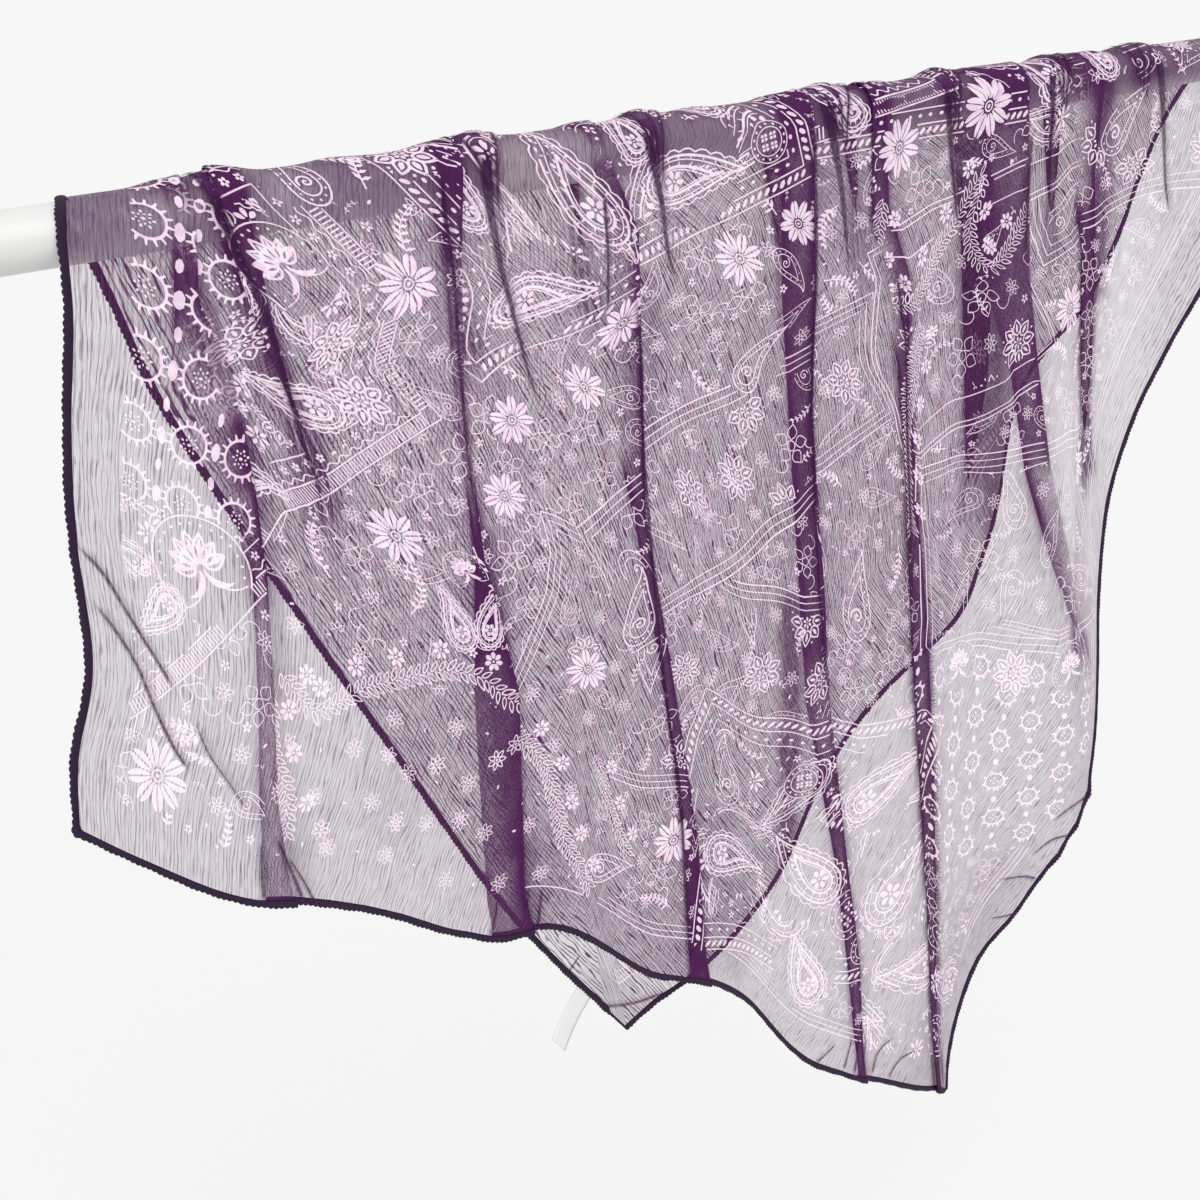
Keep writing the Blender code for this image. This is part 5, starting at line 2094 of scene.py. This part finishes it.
@dataclass
class PinchedCreases:
    """The thin dark creases: tucks that hang from the rod, and small ones at the hem.

    Args:
        drape: The hung cloth.
        pinched: Their finish.
        step: The distance between cross-sections.
        blur: How fast a crease's edge fades.
        taper: The share of its length over which each end narrows away.
        profile: How deep it is at its cross-section's stations, from its left to its right.
        gather_widths: How wide the creases of a bunch are at their start and end.
        gather_shade: How far their shade spreads.
    """

    drape: Drape
    pinched: bpy.types.Material
    step: float = 0.0016
    blur: float = 0.0004
    taper: float = 0.12
    profile: tuple[float, ...] = (0.0, 0.42, 1.0, 1.0, 0.42, 0.0)
    gather_widths: tuple[float, float] = (0.0012, 0.0006)
    gather_shade: float = 0.0024

    def build(self) -> bpy.types.Object:
        """Builds every crease as one piece of narrow strips."""
        strips = bmesh.new()
        layer = strips.verts.layers.float.new("Depth")
        for crease in CREASES + self.gathers():
            points, depths = self.strip(crease)
            rows, count = points.shape[:2]
            grid = bmesh.ops.create_grid(strips, x_segments=count - 1, y_segments=rows - 1, size=0.5)
            spots = points.reshape(-1, 3).tolist()
            for vertex, spot, depth in zip(grid["verts"], spots, depths.ravel().tolist()):
                vertex.co = spot
                vertex[layer] = depth
        return piece("pinched_creases", finished("pinched_creases", strips), self.pinched)

    def gathers(self) -> tuple[Crease, ...]:
        """Short creases that run over the rod and meet below each bunch."""
        made = []
        for bunch in BUNCHES:
            for k, off in enumerate((-0.32, 0.02, 0.36)):
                out = off * bunch.width
                path = (
                    (bunch.centre + out * 1.3, -0.024), (bunch.centre + out, -0.014),
                    (bunch.centre + out * 0.5, -0.002), (bunch.centre + out * 0.15, 0.010 + 0.004 * k),
                )
                made.append(Crease(path, self.gather_widths, self.gather_shade, ON_BUNCH))
        return tuple(made)

    def strip(self, crease: Crease) -> tuple[Points, Points]:
        """A crease's net, a row for each cross-section, and how deep it is at each point."""
        rough = smooth_line(crease.path, 40)
        length = run_length(rough)[-1]
        line = smooth_line(crease.path, max(6, int(length / self.step)))
        share = np.linspace(0, 1, len(line))
        along = unit(np.gradient(line, axis=0))
        right = np.stack([along[:, 1], -along[:, 0]], axis=1)
        ends = eased(np.minimum(share, 1 - share) / self.taper)
        half = mixed(*crease.widths, share) / 2 * (0.3 + 0.7 * ends)
        near, far = abs(crease.shade) * 0.4, abs(crease.shade)
        left_shade, right_shade = (near, far) if crease.shade > 0 else (far, near)
        offsets = np.stack(
            [-half - left_shade, -half - self.blur, -half, half, half + self.blur, half + right_shade], axis=1
        )
        places = line[:, None] + offsets[..., None] * right[:, None]
        return self.on_cloth(places, crease), np.array(self.profile) * ends[:, None]

    def on_cloth(self, places: Points, crease: Crease) -> Points:
        """Where places of a crease lie, a little off the cloth of a fall or of the stretch over the rod."""
        fall = getattr(self.drape, crease.side)
        across, drop = places[..., 0], places[..., 1]
        lift = crease.lift + fall.ridges(places)
        hung = fall.hung(across, np.maximum(drop, 0), lift)
        angle = np.clip(-drop, 0, None) / BEND_RADIUS
        radius = BEND_RADIUS + lift + bunch_lift(across) * np.sin(angle)
        over = np.stack([hung[..., 0], -radius * np.cos(angle), radius * np.sin(angle)], axis=-1)
        return np.where((drop < 0)[..., None], over, hung)


@dataclass
class PrintedPattern:
    """The print in pale ink, laid over the whole cloth as thin strokes.

    Args:
        drape: The hung cloth.
        ink: The print's finish.
        tables: How tightly the cloth lies, with its painted shade, in front, over the rod and behind.
        faded: Below which of their values no print shows.
        spread: How much wider the strokes are where the cloth is drawn up tight.
        margin: The unprinted width along the cloth's edges.
        stand_off: How far the ink lies off the cloth.
        split: Where the front print's two pieces meet, along the front hem.
    """

    drape: Drape
    ink: bpy.types.Material
    tables: tuple[Points, Points, Points]
    faded: float = -0.40
    spread: float = 0.30
    margin: float = 0.018
    stand_off: float = 0.00014
    split: float = 0.26

    def build(self) -> list[bpy.types.Object]:
        """Builds the print in a piece for each stretch of the cloth."""
        left, right = self.sides()
        middle = (left[:, 0] + right[:, 0]) / 2
        below = (middle - FLAT.start) @ FLAT.down
        hidden = below < -self.drape.quarter
        leftward = middle[:, 0] < self.split
        groups = (
            ("print_front_left", ~hidden & leftward, self.stand_off),
            ("print_front_right", ~hidden & ~leftward, self.stand_off),
            ("print_back", hidden, -self.stand_off),
        )
        return [self.laid(name, left[chosen], right[chosen], away) for name, chosen, away in groups]

    def sides(self) -> tuple[Points, Points]:
        """Every short stretch of every stroke, as the two ends of its left and of its right side."""
        pieces = []
        for k, patch in enumerate(PATCHES):
            left, right = outlined(patch.drawn(k))
            middle = (left + right).mean(axis=1) / 2
            kept = patch.holds(middle) & self.clear(middle)
            for later in PATCHES[k + 1:]:
                kept &= ~later.holds(middle)
            pieces.append((left[kept], right[kept]))
        for alone in PLACED + GARLANDS:
            pieces.append(outlined(alone.drawn()))
        left, right = (np.concatenate(side) for side in zip(*pieces))
        middle = (left + right).mean(axis=1) / 2
        kept = np.minimum(middle, CLOTH.side - middle).min(axis=1) > self.margin
        left, right = left[kept], right[kept]
        tight = self.drape.read(middle[kept], self.tables)
        shown = tight > self.faded
        left, right = left[shown], right[shown]
        wider = (right - left) / 2 * self.spread * np.clip(tight[shown], 0, 1)[:, None, None]
        return left - wider, right + wider

    @staticmethod
    def clear(places: Points) -> Points:
        """Whether each flat place is clear of the motifs and garlands that stand by themselves."""
        kept = np.ones(len(places), bool)
        for placed in PLACED:
            kept &= np.hypot(*(places - (placed.u, placed.v)).T) > placed.reach
        for garland in GARLANDS:
            for spot in smooth_line(garland.path, 40):
                kept &= np.hypot(*(places - spot).T) > garland.reach
        return kept

    def laid(self, name: str, left: Points, right: Points, stand_off: float) -> bpy.types.Object:
        """Lays stretches of strokes on the hung cloth as one piece."""
        sides = []
        for side in (left, right):
            spots, normals = self.drape.place(side.reshape(-1, 2))
            sides.append(spots + normals * stand_off)
        return piece(name, ribbon_mesh(name, *sides), self.ink)


LONGEST_STRETCH = 0.006
MITRE_LIMIT = 1.2


def outlined(drawn: Drawing) -> tuple[Points, Points]:
    """The two sides of a drawing's strokes.

    Args:
        drawn: The drawing.

    Returns:
        For the left and the right side, the two ends of every short stretch.
    """
    points = drawn.points
    linked = ~drawn.firsts[1:]
    way = np.diff(points, axis=0)
    kept = linked & (np.linalg.norm(way, axis=1) < LONGEST_STRETCH)
    way[~linked] = 0
    way = unit(way)
    along = np.vstack([np.zeros((1, 2)), way]) + np.vstack([way, np.zeros((1, 2))])
    length = np.linalg.norm(along, axis=1)
    along = unit(along)
    stretch = np.where(length > MITRE_LIMIT, 2 / np.maximum(length, MITRE_LIMIT), 1)
    across = np.stack([-along[:, 1], along[:, 0]], axis=1) * (drawn.halves * stretch)[:, None]
    sides = (points + across, points - across)
    left, right = (np.stack([side[:-1][kept], side[1:][kept]], axis=1) for side in sides)
    return left, right


@dataclass
class Hem:
    """The overlocked hem: a flat scalloped cord of thread wrapped round the cloth's edge.

    Args:
        drape: The hung cloth.
        thread: The hem's finish.
        width: How wide the stitching is.
        thickness: How thick it is.
        outside: How far it reaches past the cloth's edge.
        stitch: The length of a stitch along the edge.
        stations_per_stitch: How many cross-sections a stitch gets.
        sides: How many sides its cross-section has.
        scallop: How much a stitch swells it.
        names: The solids that it replaces.
    """

    drape: Drape
    thread: bpy.types.Material
    width: float = 0.0035
    thickness: float = 0.0017
    outside: float = 0.0012
    stitch: float = 0.0024
    stations_per_stitch: int = 4
    sides: int = 8
    scallop: float = 0.18
    names: tuple[str, ...] = (
        "hem_front_left", "hem_front_lower", "hem_front_right", "hem_over_left", "hem_over_right",
        "hem_back_left", "hem_back_right",
    )

    def build(self) -> bpy.types.Object:
        """Builds the hem round all four sides of the cloth."""
        flat = self.edge_line()
        inner = np.clip(flat, self.width, CLOTH.side - self.width)
        edge, normal = self.drape.place(flat)
        inside, _ = self.drape.place(inner)
        outward = edge - inside
        outward -= (outward * normal).sum(axis=1)[:, None] * normal
        outward = unit(outward)
        station = np.arange(len(flat))
        stitch = np.abs(np.sin(station * pi / self.stations_per_stitch))
        uneven = 0.5 * np.sin(station * 0.31) + 0.5 * np.sin(station * 0.083 + 1.0)
        swell = 1 + self.scallop * (stitch - 0.5 + uneven / 2)
        around = np.linspace(0, 2 * pi, self.sides + 1)
        middle = self.outside - self.width / 2
        across = (middle + self.width / 2 * np.cos(around))[None, :]
        across = across + (swell - 1)[:, None] * self.width * np.clip(np.cos(around), 0, 1)
        above = self.thickness / 2 * np.sin(around)[None, :] * swell[:, None]
        points = edge[:, None] + across[..., None] * outward[:, None] + above[..., None] * normal[:, None]
        run = run_length(edge)
        along = np.stack(np.broadcast_arrays(run[:, None], around[None, :] * 0.001), axis=-1)
        mesh = grid_mesh("hem", points, along, "Along")
        self.close(mesh)
        made = piece("overlocked_hem", mesh, self.thread)
        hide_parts(*self.names)
        return made

    def edge_line(self) -> Points:
        """The cloth's four edges as one closed line of flat places."""
        corners = FLAT.corners
        step = self.stitch / self.stations_per_stitch
        count = round(CLOTH.side / step)
        share = (np.arange(count) / count)[:, None]
        lines = []
        for start, end in ("AB", "BD", "DC", "CA"):
            lines.append(mixed(corners[start], corners[end], share))
        return np.vstack(lines + [corners["A"][None, :]])

    @staticmethod
    def close(mesh: bpy.types.Mesh) -> None:
        """Merges the seam round the hem and the one where its line ends."""
        tube = bmesh.new()
        tube.from_mesh(mesh)
        bmesh.ops.remove_doubles(tube, verts=tube.verts, dist=SMALLEST)
        bmesh.ops.recalc_face_normals(tube, faces=tube.faces)
        tube.to_mesh(mesh)
        tube.free()


@dataclass
class CareLabel:
    """The bare care label: a satin ribbon sewn by its short end into the back left edge."""

    drape: Drape
    satin: bpy.types.Material
    width: float = 0.0124
    length: float = 0.0315
    thickness: float = 0.0003
    place: float = 0.94
    slant: float = 0.67
    curl: float = 0.0015
    seam: float = 0.0003
    net: tuple[int, int] = (7, 25)

    def build(self) -> bpy.types.Object:
        """Builds the ribbon, with a soft curl and slightly cupped long edges."""
        back = self.drape.back
        place = self.place * (PLAN.edge_samples - 1)
        ends = on_line(back.outline, np.array([place - 2, place + 2]))
        edge = (ends[1] - ends[0]) / np.linalg.norm(ends[1] - ends[0])
        outward = np.array([-edge[1], edge[0]])
        start = ends.mean(axis=0) - outward * self.seam
        hang = np.array([-sin(self.slant), cos(self.slant)])
        wide = np.linspace(-0.5, 0.5, self.net[0])[:, None, None] * self.width
        long = np.linspace(0, 1, self.net[1])[None, :, None]
        flat = start + edge * wide + hang * long * self.length
        points = back.hung(flat[..., 0], flat[..., 1], np.zeros(flat.shape[:2]))
        level = back.hung(start[0], start[1], 0.0)[1]
        cup = (wide[..., 0] / self.width * 2) ** 2 * 0.0005
        points[..., 1] = level + self.curl * np.sin(pi * long[..., 0]) + cup * long[..., 0]
        made = piece("care_label_ribbon", grid_mesh("care_label_ribbon", points), self.satin)
        wall = made.modifiers.new("Wall", "SOLIDIFY")
        wall.thickness = self.thickness
        wall.offset = 0.0
        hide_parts("care_label")
        return made


@dataclass
class RodPiece:
    """The round rod."""

    paint: bpy.types.Material
    sizes: RodSizes = ROD

    def build(self) -> bpy.types.Object:
        """Builds the rod as a cylinder with softened ends."""
        rod = bmesh.new()
        radius = self.sizes.diameter / 2
        length = self.sizes.length
        bmesh.ops.create_cone(
            rod, cap_ends=True, segments=self.sizes.sides, radius1=radius, radius2=radius, depth=length
        )
        rims = [edge for edge in rod.edges if abs(edge.verts[0].co.z - edge.verts[1].co.z) < radius]
        bmesh.ops.bevel(
            rod, geom=rims, offset=self.sizes.edge, segments=4, profile=0.5, affect="EDGES", material=-1
        )
        laid = Matrix.Translation((length / 2, 0, 0)) @ Matrix.Rotation(pi / 2, 4, "Y")
        bmesh.ops.transform(rod, matrix=laid, verts=rod.verts)
        mesh = finished("rod_body", rod)
        mesh.set_sharp_from_angle(angle=radians(50))
        made = piece("rod_body", mesh, self.paint)
        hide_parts("rod")
        return made


@dataclass
class Studio:
    """The pale floor, the soft lights and the camera."""

    ground: bpy.types.Material
    floor_drop: float = 1.5
    floor_size: float = 30.0
    focal_length: float = 39.0
    sensor: float = 36.0
    camera_place: tuple[float, float, float] = (0.0852, -0.5067, 0.0121)
    key_strength: float = 1.9
    key_width: float = 60.0
    key_way: tuple[float, float, float] = (0.25, 0.85, -0.62)

    def build(self) -> None:
        """Builds everything that isn't part of the scarf."""
        bpy.context.scene.view_settings.view_transform = "Standard"
        self.floor()
        self.lights()
        self.camera()

    def floor(self) -> None:
        """Lays the floor."""
        grid = bmesh.new()
        bmesh.ops.create_grid(grid, x_segments=1, y_segments=1, size=self.floor_size / 2)
        bmesh.ops.translate(grid, vec=(0, 0, -self.floor_drop), verts=grid.verts)
        mesh = finished("floor", grid)
        mesh.materials.append(self.ground)
        made = bpy.data.objects.new("floor", mesh)
        bpy.context.scene.collection.objects.link(made)

    def lights(self) -> None:
        """Sets the pale surroundings and one broad soft light from above and in front."""
        world = bpy.context.scene.world or bpy.data.worlds.new("surroundings")
        bpy.context.scene.world = world
        world.use_nodes = True
        back = world.node_tree.nodes["Background"]
        back.inputs["Color"].default_value = (0.93, 0.93, 0.93, 1.0)
        back.inputs["Strength"].default_value = 1.0
        light = bpy.data.lights.new("key", "SUN")
        light.energy = self.key_strength
        light.angle = radians(self.key_width)
        made = bpy.data.objects.new("key", light)
        made.rotation_euler = Vector(self.key_way).to_track_quat("-Z", "Y").to_euler()
        bpy.context.scene.collection.objects.link(made)

    def camera(self) -> None:
        """Sets the camera close to the rod's left end, tipped down and rolled."""
        camera = bpy.data.cameras.new("camera")
        camera.lens = self.focal_length
        camera.sensor_width = self.sensor
        camera.clip_start = 0.01
        made = bpy.data.objects.new("camera", camera)
        right = Vector((0.848, -0.513, -0.130)).normalized()
        forward = Vector((0.447, 0.826, -0.342)).normalized()
        up = right.cross(forward).normalized()
        turn = Matrix((right, up, -forward)).transposed()
        made.matrix_world = Matrix.Translation(self.camera_place) @ turn.to_4x4()
        bpy.context.scene.collection.objects.link(made)
        bpy.context.scene.camera = made


def main() -> None:
    """Builds the scarf, its rod and the studio, and reports each piece."""
    logging.basicConfig(level=logging.INFO, format="%(name)s: %(message)s")
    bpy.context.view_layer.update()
    drape = Drape()
    tables = Gathering(drape).tables()
    sheet = Sheet(drape, Chiffon().build(), tables).build()
    rod = RodPiece(WhitePaint().build()).build()
    hem = Hem(drape, Overlock().build()).build()
    label = CareLabel(drape, LabelSatin().build()).build()
    pinched = PinchedCreases(drape, PinchedChiffon().build()).build()
    prints = PrintedPattern(drape, PaleInk().build(), tables).build()
    for made in (sheet, rod, hem, label, pinched, *prints):
        LOG.info("%s: %d faces", made.name, len(made.data.polygons))
    Studio(Ground().build()).build()


if __name__ == "__main__":
    main()
